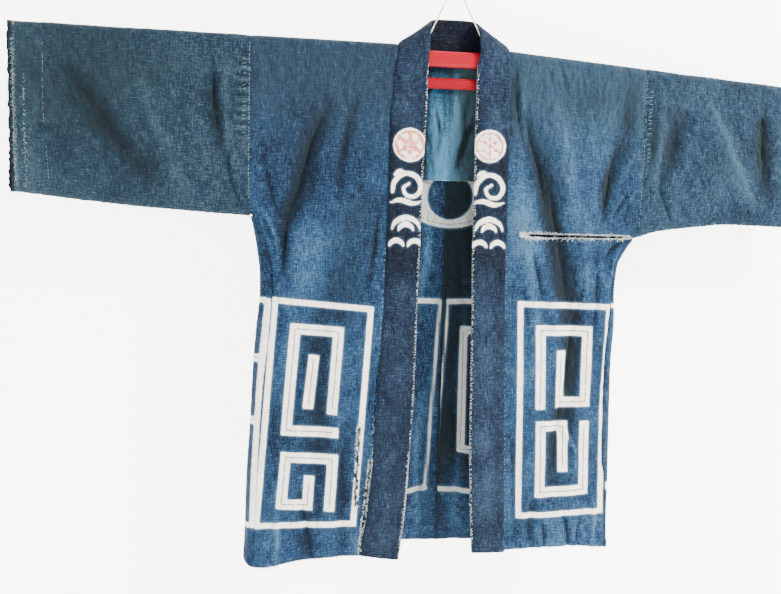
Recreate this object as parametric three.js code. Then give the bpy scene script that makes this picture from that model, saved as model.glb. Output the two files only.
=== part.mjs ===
// Boro hanten: an indigo work coat of flat loom-width strips, hanging open on a bar hanger.
// Millimetres, +Z up, +X to the viewer's right (the wearer's left), front of the coat toward -Y.
// The origin is the top of the hanging cord, where a hook or peg holds it.
// Heights in the tables below are drops under the shoulder fold; `SHOULDER_Z` places that fold.
import * as THREE from 'three';

// ---- driving dimensions -------------------------------------------------------------------
const SHOULDER_Z = -90;      // shoulder fold under the hang point
const SEAM_X = 305;          // armhole seam from the centre line
const GAP = 0.3;             // clearance at every seam
const CLOTH = 2.0;           // quilted cotton
const COLLAR_T = 3.2;        // folded collar band
const LINING_T = 1.2;        // shoulder lining
const ARM_DROP = 262;        // depth of the armhole
const BODY_DROP = 785;       // shoulder fold to hem
const FOLD_R = 12;           // height of the rounded shoulder fold
const NECK_X = 86;           // neck point from the centre line
const BAR_H = 24, BAR_D = 11, BAR_TOP = 6;
const LOW_H = 16, LOW_D = 8, LOW_TOP = 46, LOW_HALF = 180;
const CORD_D = 2.2, CORD_BEND = 6;

// Outline stations: [drop under the shoulder fold, distance from the centre line].
const OUTLINE = {
  right: {                   // wearer's right, -X
    sx: -1, topSlope: 0.011, topFrom: 0, arm: -260,
    collarOut: [[-20, 85.5], [0, 86], [55, 92], [145, 95.5], [235, 96.5], [325, 98.5], [415, 101.5],
      [540, 107.5], [630, 111.5], [712, 118], [785, 130], [810, 132]],
    collarIn: [[-20, 37], [10, 39], [85, 40], [155, 43], [235, 45], [325, 47], [415, 48.5], [540, 50.5],
      [630, 55], [712, 60], [785, 68.5], [810, 71]],
    side: [[262, 304], [275, 300], [305, 294], [345, 289], [380, 288], [435, 293], [490, 297], [575, 301],
      [655, 306], [735, 308], [810, 311]],
    seam: [[262, 298], [300, 283], [385, 270], [545, 283], [750, 293], [810, 296]],
    hem: [[60, 795], [132, 786], [222, 795], [284, 808], [300, 806]],
    cuffFront: 647, cuffBack: 655,
    sleeveEnd: [[305, 262], [480, 251], [645, 235], [660, 234]],
  },
  left: {                    // wearer's left, +X
    sx: 1, topSlope: -0.078, topFrom: 60, arm: -282,
    collarOut: [[-20, 85], [0, 85.5], [60, 88], [320, 88], [415, 90], [540, 93], [670, 97], [810, 102]],
    collarIn: [[-20, 36], [155, 35], [320, 35], [415, 37], [540, 38], [665, 41], [810, 49]],
    side: [[281, 304], [300, 289], [330, 275], [370, 272], [420, 274], [490, 272], [625, 275], [680, 276],
      [730, 275], [810, 280]],
    seam: [[281, 298], [300, 281], [330, 267], [390, 263], [420, 261], [490, 257], [555, 258], [625, 259],
      [695, 268], [810, 271]],
    hem: [[40, 785], [101, 782], [185, 779], [279, 786]],
    cuffFront: 650, cuffBack: 654,
    sleeveEnd: [[305, 281], [345, 270], [412, 261], [465, 257], [551, 259], [660, 262]],
  },
};

// Half depth of the coat, [drop, distance from the hanger plane]: mid panel and side edge.
const FRONT_MID = [[12, 8.5], [60, 9], [150, 14], [250, 18], [400, 23], [600, 29], [785, 34], [810, 34.5]];
const BACK_MID = [[12, 10], [150, 11], [400, 14], [600, 17], [785, 20], [810, 20.5]];
const FRONT_EDGE = [[12, 8.5], [60, 9.5], [130, 11], [200, 9], [250, 5.6], [275, 6.2], [340, 11], [400, 14],
  [600, 18], [785, 22], [810, 22]];
const BACK_EDGE = [[12, 10], [60, 10.5], [130, 11], [200, 9], [250, 5.6], [275, 6.2], [340, 9], [400, 11],
  [600, 14], [785, 17], [810, 17]];

// Main folds: a soft valley pressed into one wall along a path of [x, drop]; a negative depth is a ridge.
const FOLDS = [
  { wall: 'left_front', half: 34, deep: 9, path: [[118, 110], [150, 234], [184, 352], [200, 429], [198, 526],
    [181, 623], [172, 690]] },
  { wall: 'left_front', half: 24, deep: 5, path: [[268, 120], [253, 190], [246, 240]] },
  { wall: 'right_front', half: 26, deep: 6, path: [[-186, 90], [-215, 148], [-233, 222], [-256, 290],
    [-254, 350]] },
  { wall: 'right_front', half: 40, deep: 5, path: [[-170, 330], [-196, 470], [-200, 640], [-206, 790]] },
  { wall: 'left_back', half: 45, deep: 6, path: [[120, 210], [150, 380], [165, 560], [160, 700]] },
  { wall: 'right_back', half: 45, deep: 6, path: [[-130, 230], [-165, 400], [-170, 580], [-180, 720]] },
  { wall: 'left_sleeve_front', half: 26, deep: 5, path: [[378, 70], [357, 127], [339, 205]] },
  { wall: 'left_sleeve_front', half: 24, deep: -5, path: [[400, 60], [420, 90], [451, 160], [483, 215],
    [505, 250]] },
  { wall: 'left_sleeve_front', half: 22, deep: 5, path: [[499, 70], [504, 120], [512, 175], [520, 215]] },
  { wall: 'left_sleeve_back', half: 34, deep: 4, path: [[400, 80], [440, 150], [480, 220]] },
  { wall: 'right_sleeve_front', half: 34, deep: 4.5, path: [[-566, 62], [-513, 136], [-450, 214]] },
  { wall: 'right_sleeve_front', half: 22, deep: 3.5, path: [[-362, 60], [-356, 132], [-340, 190]] },
  { wall: 'right_sleeve_back', half: 34, deep: 4, path: [[-540, 80], [-490, 150], [-430, 210]] },
];

// ---- small maths ---------------------------------------------------------------------------
const clamp01 = (t) => Math.min(1, Math.max(0, t));
const mix = (a, b, t) => a + (b - a) * t;
const ease = (a, b, q) => { const t = clamp01((q - a) / (b - a)); return t * t * (3 - 2 * t); };

// Smooth curve through the stations of a table.
function along(table, q) {
  const n = table.length - 1;
  if (q <= table[0][0]) return table[0][1];
  if (q >= table[n][0]) return table[n][1];
  let i = 0;
  while (q > table[i + 1][0]) i += 1;
  const slope = (k) => (table[k + 1][1] - table[k][1]) / (table[k + 1][0] - table[k][0]);
  const tangent = (k) => {
    if (k === 0) return slope(0);
    if (k === n) return slope(n - 1);
    const a = slope(k - 1), b = slope(k);
    return a * b <= 0 ? 0 : (2 * a * b) / (a + b);
  };
  const h = table[i + 1][0] - table[i][0], t = (q - table[i][0]) / h, t2 = t * t, t3 = t2 * t;
  return (2 * t3 - 3 * t2 + 1) * table[i][1] + (t3 - 2 * t2 + t) * h * tangent(i)
    + (3 * t2 - 2 * t3) * table[i + 1][1] + (t3 - t2) * h * tangent(i + 1);
}

// Depth of the folds of one wall at (x, drop): full on the path, fading out across `half`.
function foldDepth(wall, x, drop) {
  let total = 0;
  for (const fold of FOLDS) {
    if (fold.wall !== wall) continue;
    let near = Infinity, at = 0;
    const legs = fold.path.length - 1;
    for (let k = 0; k < legs; k += 1) {
      const [ax, az] = fold.path[k], [bx, bz] = fold.path[k + 1];
      const dx = bx - ax, dz = bz - az;
      const t = clamp01(((x - ax) * dx + (drop - az) * dz) / (dx * dx + dz * dz));
      const d = Math.hypot(x - ax - t * dx, drop - az - t * dz);
      if (d < near) { near = d; at = (k + t) / legs; }
    }
    const across = 1 - ease(0, fold.half, near);
    total += fold.deep * across * (0.25 + 0.75 * Math.sin(Math.PI * (0.08 + 0.84 * at)));
  }
  return total;
}

// ---- cloth as a closed sheet ----------------------------------------------------------------
// `at(i, j)` gives the middle surface; `open(i, j)` names cells that are cut away. Every edge that
// only one cell uses gets a rim, so hems, cuffs and tears all show the cloth's thickness.
function sheetSolid(at, ni, nj, thickness, { ring = false, open = () => false, flip = false } = {}) {
  const cols = ring ? nj : nj + 1;
  const mid = [];
  for (let i = 0; i <= ni; i += 1) {
    for (let j = 0; j < cols; j += 1) mid.push(at(i, j));
  }
  const index = (i, j) => i * cols + (ring ? (j + cols) % cols : j);
  const clampI = (i) => Math.min(ni, Math.max(0, i));
  const clampJ = (j) => (ring ? j : Math.min(nj, Math.max(0, j)));
  const position = [];
  for (let i = 0; i <= ni; i += 1) {
    for (let j = 0; j < cols; j += 1) {
      const di = mid[index(clampI(i + 1), j)].clone().sub(mid[index(clampI(i - 1), j)]);
      const dj = mid[index(i, clampJ(j + 1))].clone().sub(mid[index(i, clampJ(j - 1))]);
      const n = di.cross(dj).normalize().multiplyScalar((flip ? -1 : 1) * thickness / 2);
      const p = mid[index(i, j)];
      position.push(p.x + n.x, p.y + n.y, p.z + n.z, p.x - n.x, p.y - n.y, p.z - n.z);
    }
  }
  const faces = [];
  const quad = (a, b, c, d) => (flip ? faces.push(a, c, b, a, d, c) : faces.push(a, b, c, a, c, d));
  const here = (i, j) => i >= 0 && i < ni && (ring || (j >= 0 && j < nj))
    && !open(i, ring ? (j + cols) % cols : j);
  const outer = (i, j) => 2 * index(i, j), inner = (i, j) => 2 * index(i, j) + 1;
  for (let i = 0; i < ni; i += 1) {
    for (let j = 0; j < (ring ? cols : nj); j += 1) {
      if (!here(i, j)) continue;
      quad(outer(i, j), outer(i + 1, j), outer(i + 1, j + 1), outer(i, j + 1));
      quad(inner(i, j), inner(i, j + 1), inner(i + 1, j + 1), inner(i + 1, j));
      const rim = (p, q) => quad(outer(...q), outer(...p), inner(...p), inner(...q));
      if (!here(i, j - 1)) rim([i, j], [i + 1, j]);
      if (!here(i, j + 1)) rim([i + 1, j + 1], [i, j + 1]);
      if (!here(i - 1, j)) rim([i, j + 1], [i, j]);
      if (!here(i + 1, j)) rim([i + 1, j], [i + 1, j + 1]);
    }
  }
  const used = new Map(), kept = [];
  const compact = faces.map((f) => {
    if (!used.has(f)) { used.set(f, used.size); kept.push(...position.slice(3 * f, 3 * f + 3)); }
    return used.get(f);
  });
  const geometry = new THREE.BufferGeometry();
  geometry.setAttribute('position', new THREE.Float32BufferAttribute(kept, 3));
  geometry.setIndex(compact);
  geometry.computeVertexNormals();
  return geometry;
}

function piece(name, geometry, color) {
  const mesh = new THREE.Mesh(geometry, new THREE.MeshStandardMaterial({ color, roughness: 0.9 }));
  mesh.name = name;
  return mesh;
}

// ---- shared form of the coat -----------------------------------------------------------------
const topZ = (o, x) => o.topSlope * Math.max(0, Math.abs(x) - o.topFrom);

// Half depth of a body wall at distance `x` from the centre, `outer` being the side edge there.
function bodyDepth(front, x, outer, drop) {
  const middle = along(front ? FRONT_MID : BACK_MID, drop);
  const edge = along(front ? FRONT_EDGE : BACK_EDGE, drop);
  return mix(middle, edge, ease(150, outer, x));
}

// Side edge of a body strip: the armhole above, the side seam (rolled to the front) below.
const sideEdge = (o, z) => (z > o.arm ? SEAM_X - GAP / 2 : along(o.seam, -z));

// Rows of a body strip from the front hem over the shoulder to the back hem.
// The wearer's-left front has two rows close together: the upper and lower lip of the tear.
const LIPS = [262.6, 261.4];
const frontRows = (lips) => [785, 762, 728, 690, 652, 614, 576, 538, 500, 462, 426, 392, 358, 326, 298, 278,
  ...lips, 244, 218, 190, 162, 134, 106, 80, 56, 36, 22, 12];
const FRONT_ROWS = { right_body: frontRows([262]), left_body: frontRows(LIPS) };
const OVER_ROWS = [150, 120, 90, 60, 30];
const BACK_ROWS = [12, 14, 28, 50, 80, 118, 160, 202, 232, 256, 276, 305, 345, 390, 440, 490, 540, 590,
  640, 690,
  740, 785];
const STRIP_COLS = 13, FLAT_COLS = 9;

function tearGap(x) {        // opening of the tear under the left arm
  return 1.2 + 5.2 * ease(108, 132, x) * (1 - 0.55 * ease(140, 200, x)) * (1 - ease(272, 294, x));
}

function bodyPoint(o, name, row, col) {
  const rows = FRONT_ROWS[name], nf = rows.length, no = OVER_ROWS.length;
  const front = row < nf, over = row >= nf && row < nf + no;
  const angle = over ? THREE.MathUtils.degToRad(OVER_ROWS[row - nf]) : 0;
  const back = row >= nf + no || (over && OVER_ROWS[row - nf] < 90);
  let drop = front ? rows[row] : over ? FOLD_R * (1 - Math.sin(angle)) : BACK_ROWS[row - nf - no];
  // The arc round the side is part of the back half of the strip, below the armhole.
  const evenShare = col / STRIP_COLS;
  const flatShare = col <= FLAT_COLS ? (col / FLAT_COLS) * 0.86 : 0.86 + 0.14 * (col - FLAT_COLS)
    / (STRIP_COLS - FLAT_COLS);
  const turn = over ? 1 - OVER_ROWS[row - nf] / 180 : front ? 0 : 1;
  const share = mix(evenShare, flatShare, turn);
  const wraps = !front && !over && drop > ARM_DROP;
  let x = 200, z = 0;
  for (let k = 0; k < 4; k += 1) {
    const above = drop <= ARM_DROP;
    const tear = name === 'left_body' && front && Math.abs(drop - ARM_DROP) < 1
      ? (above ? 1 : -1) * (tearGap(x) - 1.2) / 2 : 0;
    const hem = front || wraps ? -along(o.hem, x) : -BODY_DROP;
    z = above ? mix(topZ(o, x), o.arm, drop / ARM_DROP) + tear
      : mix(o.arm, front ? hem : -BODY_DROP, (drop - ARM_DROP) / (BODY_DROP - ARM_DROP)) + tear;
    const neck = back ? Math.max(GAP / 2, (NECK_X + 1) * (1 - Math.pow(drop / 13.5, 1.1)))
      : along(o.collarOut, -z) + 0.5 + 0.7 * ease(-40, 0, z);
    const inner = back && !over && drop > 13 ? GAP / 2 : neck;
    x = wraps ? mix(inner, sideEdge(o, z), Math.min(1, share / 0.86)) : mix(inner, sideEdge(o, z), share);
  }
  const outer = sideEdge(o, z);
  const wall = name.replace('_body', back ? '_back' : '_front');
  if (over) {
    const half = bodyDepth(!back, x, outer, FOLD_R);
    return new THREE.Vector3(o.sx * x, (back ? 1 : -1) * half * Math.abs(Math.cos(angle)), z + SHOULDER_Z);
  }
  if (wraps && col > FLAT_COLS) {
    const t = (col - FLAT_COLS) / (STRIP_COLS - FLAT_COLS);
    const rx = Math.max(5, along(o.side, -z) - outer);
    const yb = bodyDepth(false, outer, outer, drop), yf = -bodyDepth(true, outer, outer, drop);
    const a = Math.PI / 2 - t * (Math.PI - GAP / rx);
    const low = mix(z, z - (along(o.hem, outer) - BODY_DROP) * ease(600, 785, drop), ease(0.2, 1, t));
    return new THREE.Vector3(o.sx * (outer + rx * Math.cos(a)), (yb + yf) / 2 + ((yb - yf) / 2) * Math.sin(a),
      low + SHOULDER_Z);
  }
  const fold = foldDepth(wall, o.sx * x, -z) * ease(62, 90, drop) * (1 - ease(outer - 26, outer, x));
  const y = (back ? 1 : -1) * (bodyDepth(!back, x, outer, drop) - fold);
  return new THREE.Vector3(o.sx * x, y, z + SHOULDER_Z);
}

function bodyStrip(name, o) {
  const rows = FRONT_ROWS[name].length + OVER_ROWS.length + BACK_ROWS.length - 1;
  const tearRow = FRONT_ROWS[name].indexOf(LIPS[0]);
  const torn = name === 'left_body';
  const open = (i, j) => torn && i === tearRow && j >= 2 && j <= 11;
  return sheetSolid((i, j) => bodyPoint(o, name, i, j), rows, STRIP_COLS, CLOTH, { open, flip: o.sx > 0 });
}

// ---- sleeves: a tube open at the armhole and the cuff ------------------------------------------
const SLEEVE_DROPS = [12, 32, 60, 92, 126, 160, 194, 226, 250];
const SLEEVE_STEPS = 12;
function sleeveRing() {
  const ring = [];
  OVER_ROWS.forEach((deg) => ring.push({ deg }));
  SLEEVE_DROPS.forEach((drop) => ring.push({ drop, back: true }));
  [-30, -60, -90, -120, -150].forEach((deg) => ring.push({ deg }));
  [...SLEEVE_DROPS].reverse().forEach((drop) => ring.push({ drop, back: false }));
  return ring;
}
const RING = sleeveRing();

function sleevePoint(o, name, step, k) {
  const r = RING[k];
  const back = r.deg === undefined ? r.back : Math.abs(r.deg) < 90;
  const cuff = r.deg === undefined ? (back ? o.cuffBack : o.cuffFront)
    : mix(o.cuffFront, o.cuffBack, (1 + Math.cos(THREE.MathUtils.degToRad(r.deg))) / 2);
  const x = mix(SEAM_X + GAP / 2, cuff, step / SLEEVE_STEPS);
  const height = topZ(o, x) + along(o.sleeveEnd, x);
  const scale = height / ARM_DROP;
  let drop, y;
  if (r.deg === undefined) {
    drop = r.drop;
    const wall = `${name}_${back ? 'back' : 'front'}`;
    const fold = foldDepth(wall, o.sx * x, drop * scale - topZ(o, x)) * ease(40, 70, drop)
      * (1 - ease(215, 250, drop))
      * ease(SEAM_X, SEAM_X + 30, x);
    y = (back ? 1 : -1) * (along(back ? BACK_EDGE : FRONT_EDGE, drop) - fold);
  } else {
    const a = THREE.MathUtils.degToRad(r.deg), top = r.deg > 0;
    drop = top ? FOLD_R * (1 - Math.sin(a)) : ARM_DROP - FOLD_R * (1 + Math.sin(a));
    y = along(back ? BACK_EDGE : FRONT_EDGE, top ? 12 : 250) * Math.cos(a);
  }
  const z = topZ(o, x) - (drop <= 40 ? drop : mix(40, height, (drop - 40) / (ARM_DROP - 40)));
  return new THREE.Vector3(o.sx * x, y, z + SHOULDER_Z);
}

function sleeve(name, o) {
  return sheetSolid((i, j) => sleevePoint(o, name, i, j), SLEEVE_STEPS, RING.length, CLOTH,
    { ring: true, flip: o.sx < 0 });
}

// ---- collar: one folded band from hem to hem round the neck -------------------------------------
// Stations over the shoulder and behind the neck: sewn edge and free edge as [x, y, height].
const NECK_STATIONS = [
  { sewn: [86, -8.6, -14], free: [38.5, -11, -12] },
  { sewn: [85.8, -6, -5], free: [37.5, -9, 10] },
  { sewn: [85.3, 0, 2.5], free: [36, -2.5, 30] },
  { sewn: [81, 8, 3.1], free: [34, 7, 39] },
  { sewn: [70, 12.6, -1], free: [31, 14, 43] },
  { sewn: [40, 13.2, -8], free: [19, 18.5, 45] },
  { sewn: [0, 13.4, -12], free: [0, 20, 45.5] },
];
const COLLAR_DROPS = [785, 762, 745, 728, 712, 690, 650, 600, 550, 500, 450, 400, 350, 300, 255, 210, 170,
  130, 95, 65, 38];

function collarRows() {
  const rows = [];
  const half = (o) => {
    const list = COLLAR_DROPS.map((drop) => {
      const hemShift = (k) => (o.sx < 0 ? mix(1, 9, k) : 0) * ease(600, 785, drop);
      const edge = (table, k) => {
        const low = drop + hemShift(k);
        return [o.sx * along(table, low), -bodyDepth(true, 100, 300, drop), -low];
      };
      return { sewn: edge(o.collarOut, 0), free: edge(o.collarIn, 1) };
    });
    NECK_STATIONS.forEach(({ sewn, free }) => list.push({ sewn: [o.sx * sewn[0], sewn[1], sewn[2]],
      free: [o.sx * free[0] * (o.sx > 0 ? 1.04 : 1), free[1], free[2]] }));
    return list;
  };
  const right = half(OUTLINE.right), left = half(OUTLINE.left).reverse();
  rows.push(...right, ...left.slice(1));
  return rows;
}

function collar() {
  const rows = collarRows();
  const across = 2;
  const at = (i, j) => {
    const { sewn, free } = rows[i], t = j / across;
    const p = new THREE.Vector3(mix(sewn[0], free[0], t), mix(sewn[1], free[1], t), mix(sewn[2], free[2], t));
    p.z += SHOULDER_Z;
    return p;
  };
  return sheetSolid(at, rows.length - 1, across, COLLAR_T, {});
}

// ---- shoulder lining: one panel inside the back, its points taken from the back strips ----------
const YOKE_COLS = 6, YOKE_TOP = 14, YOKE_BOTTOM = 202;
function yokeLining() {
  const inset = CLOTH / 2 + 0.35 + LINING_T / 2;
  const first = (name) => FRONT_ROWS[name].length + OVER_ROWS.length;
  const rows = BACK_ROWS.map((drop, k) => ({ drop, k }))
    .filter(({ drop }) => drop >= YOKE_TOP && drop <= YOKE_BOTTOM);
  const at = (i, j) => {
    const col = Math.abs(i - YOKE_COLS), side = i < YOKE_COLS ? 'right' : 'left', name = `${side}_body`;
    const p = bodyPoint(OUTLINE[side], name, first(name) + rows[j].k, col);
    return new THREE.Vector3(col === 0 ? 0 : p.x, p.y - inset, p.z);
  };
  return sheetSolid(at, 2 * YOKE_COLS, rows.length - 1, LINING_T, {});
}

// ---- hanger ------------------------------------------------------------------------------------
// A solid oval bar through a list of centre points; ends closed flat.
function ovalBar(points, halfY, halfZ, sides = 16) {
  const position = [], faces = [];
  points.forEach(([x, y, z]) => {
    for (let k = 0; k < sides; k += 1) {
      const a = (2 * Math.PI * k) / sides, c = Math.cos(a), s = Math.sin(a);
      const soft = (v) => Math.sign(v) * Math.pow(Math.abs(v), 0.75);
      position.push(x, y + halfY * soft(c), z + halfZ * soft(s));
    }
  });
  const n = points.length;
  for (let i = 0; i < n - 1; i += 1) {
    for (let k = 0; k < sides; k += 1) {
      const a = i * sides + k, b = i * sides + ((k + 1) % sides), c = b + sides, d = a + sides;
      faces.push(a, b, c, a, c, d);
    }
  }
  for (let k = 1; k < sides - 1; k += 1) {
    faces.push(0, k + 1, k);
    const e = (n - 1) * sides;
    faces.push(e, e + k, e + k + 1);
  }
  const geometry = new THREE.BufferGeometry();
  geometry.setAttribute('position', new THREE.Float32BufferAttribute(position, 3));
  geometry.setIndex(faces);
  geometry.computeVertexNormals();
  return geometry;
}

function barLine(from, to, steps, under) {
  const points = [];
  for (let i = 0; i <= steps; i += 1) {
    const x = mix(from, to, i / steps), o = x < 0 ? OUTLINE.right : OUTLINE.left;
    points.push([x, 0, topZ(o, x) - under + SHOULDER_Z]);
  }
  return points;
}

function hangerBar() {
  return ovalBar(barLine(-600, 588, 22, BAR_TOP + BAR_H / 2), BAR_D / 2, BAR_H / 2);
}

function lowerBar() {
  const z = SHOULDER_Z - LOW_TOP - LOW_H / 2;
  return ovalBar([[-LOW_HALF, 0, z], [LOW_HALF, 0, z]], LOW_D / 2, LOW_H / 2);
}

// Short flat link that carries the lower bar under the upper one.
function link(x) {
  const o = x < 0 ? OUTLINE.right : OUTLINE.left;
  const high = topZ(o, x) - BAR_TOP - BAR_H - 1.2, low = -LOW_TOP + GAP;
  const geometry = new THREE.BoxGeometry(12, 4, high - low);
  geometry.translate(x, 0, (high + low) / 2 + SHOULDER_Z);
  return geometry;
}

// Hanging cord: from the bar up to the hang point and back down, one soft bend at the top.
function cord() {
  const r = CORD_D / 2, foot = -BAR_TOP + 1.2 + SHOULDER_Z, apex = r;
  const centre = apex - CORD_BEND;
  const path = new THREE.CurvePath();
  const strand = (x) => {
    // The straight strand leaves the bend along its tangent.
    const dx = x, dz = foot - centre, reach = Math.hypot(dx, dz);
    const base = Math.atan2(dz, dx), swing = Math.acos(CORD_BEND / reach);
    const a = x < 0 ? base - swing : base + swing;
    return { a, touch: new THREE.Vector3(CORD_BEND * Math.cos(a), 0, centre + CORD_BEND * Math.sin(a)),
      end: new THREE.Vector3(x, 0, foot) };
  };
  const rightEnd = strand(-48), leftEnd = strand(53);
  const points = [];
  for (let i = 0; i <= 10; i += 1) points.push(rightEnd.end.clone().lerp(rightEnd.touch, i / 10));
  let a0 = rightEnd.a, a1 = leftEnd.a;
  while (a0 < 0) a0 += 2 * Math.PI;
  while (a1 > a0) a1 -= 2 * Math.PI;
  for (let i = 1; i < 10; i += 1) {
    const a = mix(a0, a1, i / 10);
    points.push(new THREE.Vector3(CORD_BEND * Math.cos(a), 0, centre + CORD_BEND * Math.sin(a)));
  }
  for (let i = 0; i <= 10; i += 1) points.push(leftEnd.touch.clone().lerp(leftEnd.end, i / 10));
  const curve = new THREE.CatmullRomCurve3(points, false, 'centripetal');
  const circle = new THREE.Shape();
  for (let k = 0; k < 8; k += 1) {
    const a = (2 * Math.PI * k) / 8;
    if (k === 0) circle.moveTo(r, 0); else circle.lineTo(r * Math.cos(a), r * Math.sin(a));
  }
  return new THREE.ExtrudeGeometry(circle, { steps: 60, extrudePath: curve, curveSegments: 1 });
}

const coat = new THREE.Group();
coat.name = 'boro_hanten_on_hanger';
coat.add(
  piece('right_body', bodyStrip('right_body', OUTLINE.right), 0x3f5688),
  piece('left_body', bodyStrip('left_body', OUTLINE.left), 0x36539a),
  piece('right_sleeve', sleeve('right_sleeve', OUTLINE.right), 0x55677f),
  piece('left_sleeve', sleeve('left_sleeve', OUTLINE.left), 0x41598c),
  piece('collar', collar(), 0x2b3850),
  piece('yoke_lining', yokeLining(), 0x86a4b8),
  piece('hanger_bar', hangerBar(), 0xc02a2c),
  piece('hanger_lower_bar', lowerBar(), 0xb82629),
  piece('hanger_link_right', link(-120), 0x9c2326),
  piece('hanger_link_left', link(120), 0x9c2327),
  piece('hanger_cord', cord(), 0xe6dfb8),
);
export default coat;
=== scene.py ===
import math

import bpy
import numpy as np
from mathutils import Matrix, Vector
from mathutils.kdtree import KDTree


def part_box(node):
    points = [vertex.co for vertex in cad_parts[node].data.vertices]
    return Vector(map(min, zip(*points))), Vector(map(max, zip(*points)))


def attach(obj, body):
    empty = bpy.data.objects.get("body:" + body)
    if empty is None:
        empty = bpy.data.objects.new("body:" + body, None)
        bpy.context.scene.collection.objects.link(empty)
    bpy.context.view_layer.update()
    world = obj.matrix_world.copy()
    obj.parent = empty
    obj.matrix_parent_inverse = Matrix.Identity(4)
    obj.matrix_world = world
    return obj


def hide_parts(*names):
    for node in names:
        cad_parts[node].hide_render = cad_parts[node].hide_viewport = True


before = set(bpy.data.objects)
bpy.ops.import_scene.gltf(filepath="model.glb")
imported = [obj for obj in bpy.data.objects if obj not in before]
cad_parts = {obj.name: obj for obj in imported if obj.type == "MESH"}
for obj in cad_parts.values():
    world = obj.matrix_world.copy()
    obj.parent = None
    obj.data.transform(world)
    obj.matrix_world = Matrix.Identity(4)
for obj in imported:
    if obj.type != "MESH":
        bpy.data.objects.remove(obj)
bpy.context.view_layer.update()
bpy.ops.object.select_all(action="DESELECT")

# ---------------------------------------------------------------------------------------------
# The coat is worked in millimetres. Heights are drops under the shoulder fold, and "right" and
# "left" are the wearer's: right is toward -X. MM turns a length into metres.
# ---------------------------------------------------------------------------------------------
MM = 0.001
LOW_BAR_TOP = 46.0       # top of the lower bar under the shoulder fold
SHOULDER_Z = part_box("hanger_lower_bar")[1][2] / MM + LOW_BAR_TOP
SEAM_X = 305.0           # armhole seam, out from the centre
CLOTH = 1.9              # thickness of the layered cloth of the body and sleeves
COLLAR_T = 3.4           # thickness of the folded collar band
LINING_T = 1.1           # thickness of the yoke lining
ARM_DROP = 262.0         # lower end of the armhole
BODY_DROP = 785.0        # hem
FOLD_R = 12.0            # depth of the fold over the shoulder, from its middle
NECK_X = 86.0            # half the width of the neck opening
LIPS = (262.6, 261.4)    # the two rows of cloth that part at the torn slit
FAR = 60.0               # distance that stands for no mark near

# Outline of each half. The collar's sewn and free edges, the body's side and the start of its turn round
# the side are (drop, x). The hem and the sleeve's lower edge are (x, drop).
OUTLINE = {
    "right": dict(
        sx=-1, slope=0.011, slope_from=0, arm=-260,
        collar_out=[(-20, 85.5), (0, 86), (55, 92), (145, 95.5), (235, 96.5), (325, 98.5), (415, 101.5),
                    (540, 107.5), (630, 111.5), (712, 118), (785, 130), (810, 132)],
        collar_in=[(-20, 37), (10, 39), (85, 40), (155, 43), (235, 45), (325, 47), (415, 48.5), (540, 50.5),
                   (630, 55), (712, 60), (785, 68.5), (810, 71)],
        side=[(262, 304), (275, 300), (305, 294), (345, 289), (380, 288), (435, 293), (490, 297), (575, 301),
              (655, 306), (735, 308), (810, 311)],
        seam=[(262, 298), (300, 283), (385, 270), (545, 283), (750, 293), (810, 296)],
        hem=[(60, 795), (132, 786), (222, 795), (284, 808), (300, 806)],
        cuff_front=647, cuff_back=655,
        sleeve_end=[(305, 262), (480, 251), (645, 235), (660, 234)]),
    "left": dict(
        sx=1, slope=-0.078, slope_from=60, arm=-282,
        collar_out=[(-20, 85), (0, 85.5), (60, 88), (320, 88), (415, 90), (540, 93), (670, 97), (810, 102)],
        collar_in=[(-20, 36), (155, 35), (320, 35), (415, 37), (540, 38), (665, 41), (810, 49)],
        side=[(281, 304), (300, 289), (330, 275), (370, 272), (420, 274), (490, 272), (625, 275), (680, 276),
              (730, 275), (810, 280)],
        seam=[(281, 298), (300, 281), (330, 267), (390, 263), (420, 261), (490, 257), (555, 258), (625, 259),
              (695, 268), (810, 271)],
        hem=[(40, 785), (101, 782), (185, 779), (279, 786)],
        cuff_front=650, cuff_back=654,
        sleeve_end=[(305, 281), (345, 270), (412, 261), (465, 257), (551, 259), (660, 262)]),
}
# Depth of the walls from the hanger's plane, as (drop, depth), at the middle and at the side.
FRONT_MID = [(12, 8.5), (60, 9), (150, 14), (250, 18), (400, 23), (600, 29), (785, 34), (810, 34.5)]
BACK_MID = [(12, 10), (150, 11), (400, 14), (600, 17), (785, 20), (810, 20.5)]
FRONT_EDGE = [(12, 8.5), (60, 9.5), (130, 11), (200, 9), (250, 5.6), (275, 6.2), (340, 11), (400, 14),
              (600, 18), (785, 22), (810, 22)]
BACK_EDGE = [(12, 10), (60, 10.5), (130, 11), (200, 9), (250, 5.6), (275, 6.2), (340, 9), (400, 11),
             (600, 14), (785, 17), (810, 17)]


# ---- small maths -----------------------------------------------------------------------------
def mix(a, b, t):
    return a + (b - a) * t


def ease(a, b, q):
    t = np.clip((np.asarray(q, float) - a) / (b - a), 0, 1)
    return t * t * (3 - 2 * t)


def along(table, q):
    """Smooth curve through the stations of a table."""
    xs, ys = (np.array(v, float) for v in zip(*table))
    step = np.diff(xs)
    slope = np.diff(ys) / step
    tangent = np.concatenate([slope[:1], np.zeros(len(xs) - 2), slope[-1:]])
    before, after = slope[:-1], slope[1:]
    rises = before * after > 0
    tangent[1:-1][rises] = 2 * before[rises] * after[rises] / (before[rises] + after[rises])
    q = np.clip(np.asarray(q, float), xs[0], xs[-1])
    i = np.clip(np.searchsorted(xs, q, side="right") - 1, 0, len(step) - 1)
    t = (q - xs[i]) / step[i]
    return ((2 * t**3 - 3 * t**2 + 1) * ys[i] + (t**3 - 2 * t**2 + t) * step[i] * tangent[i]
            + (3 * t**2 - 2 * t**3) * ys[i + 1] + (t**3 - t**2) * step[i] * tangent[i + 1])


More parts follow.
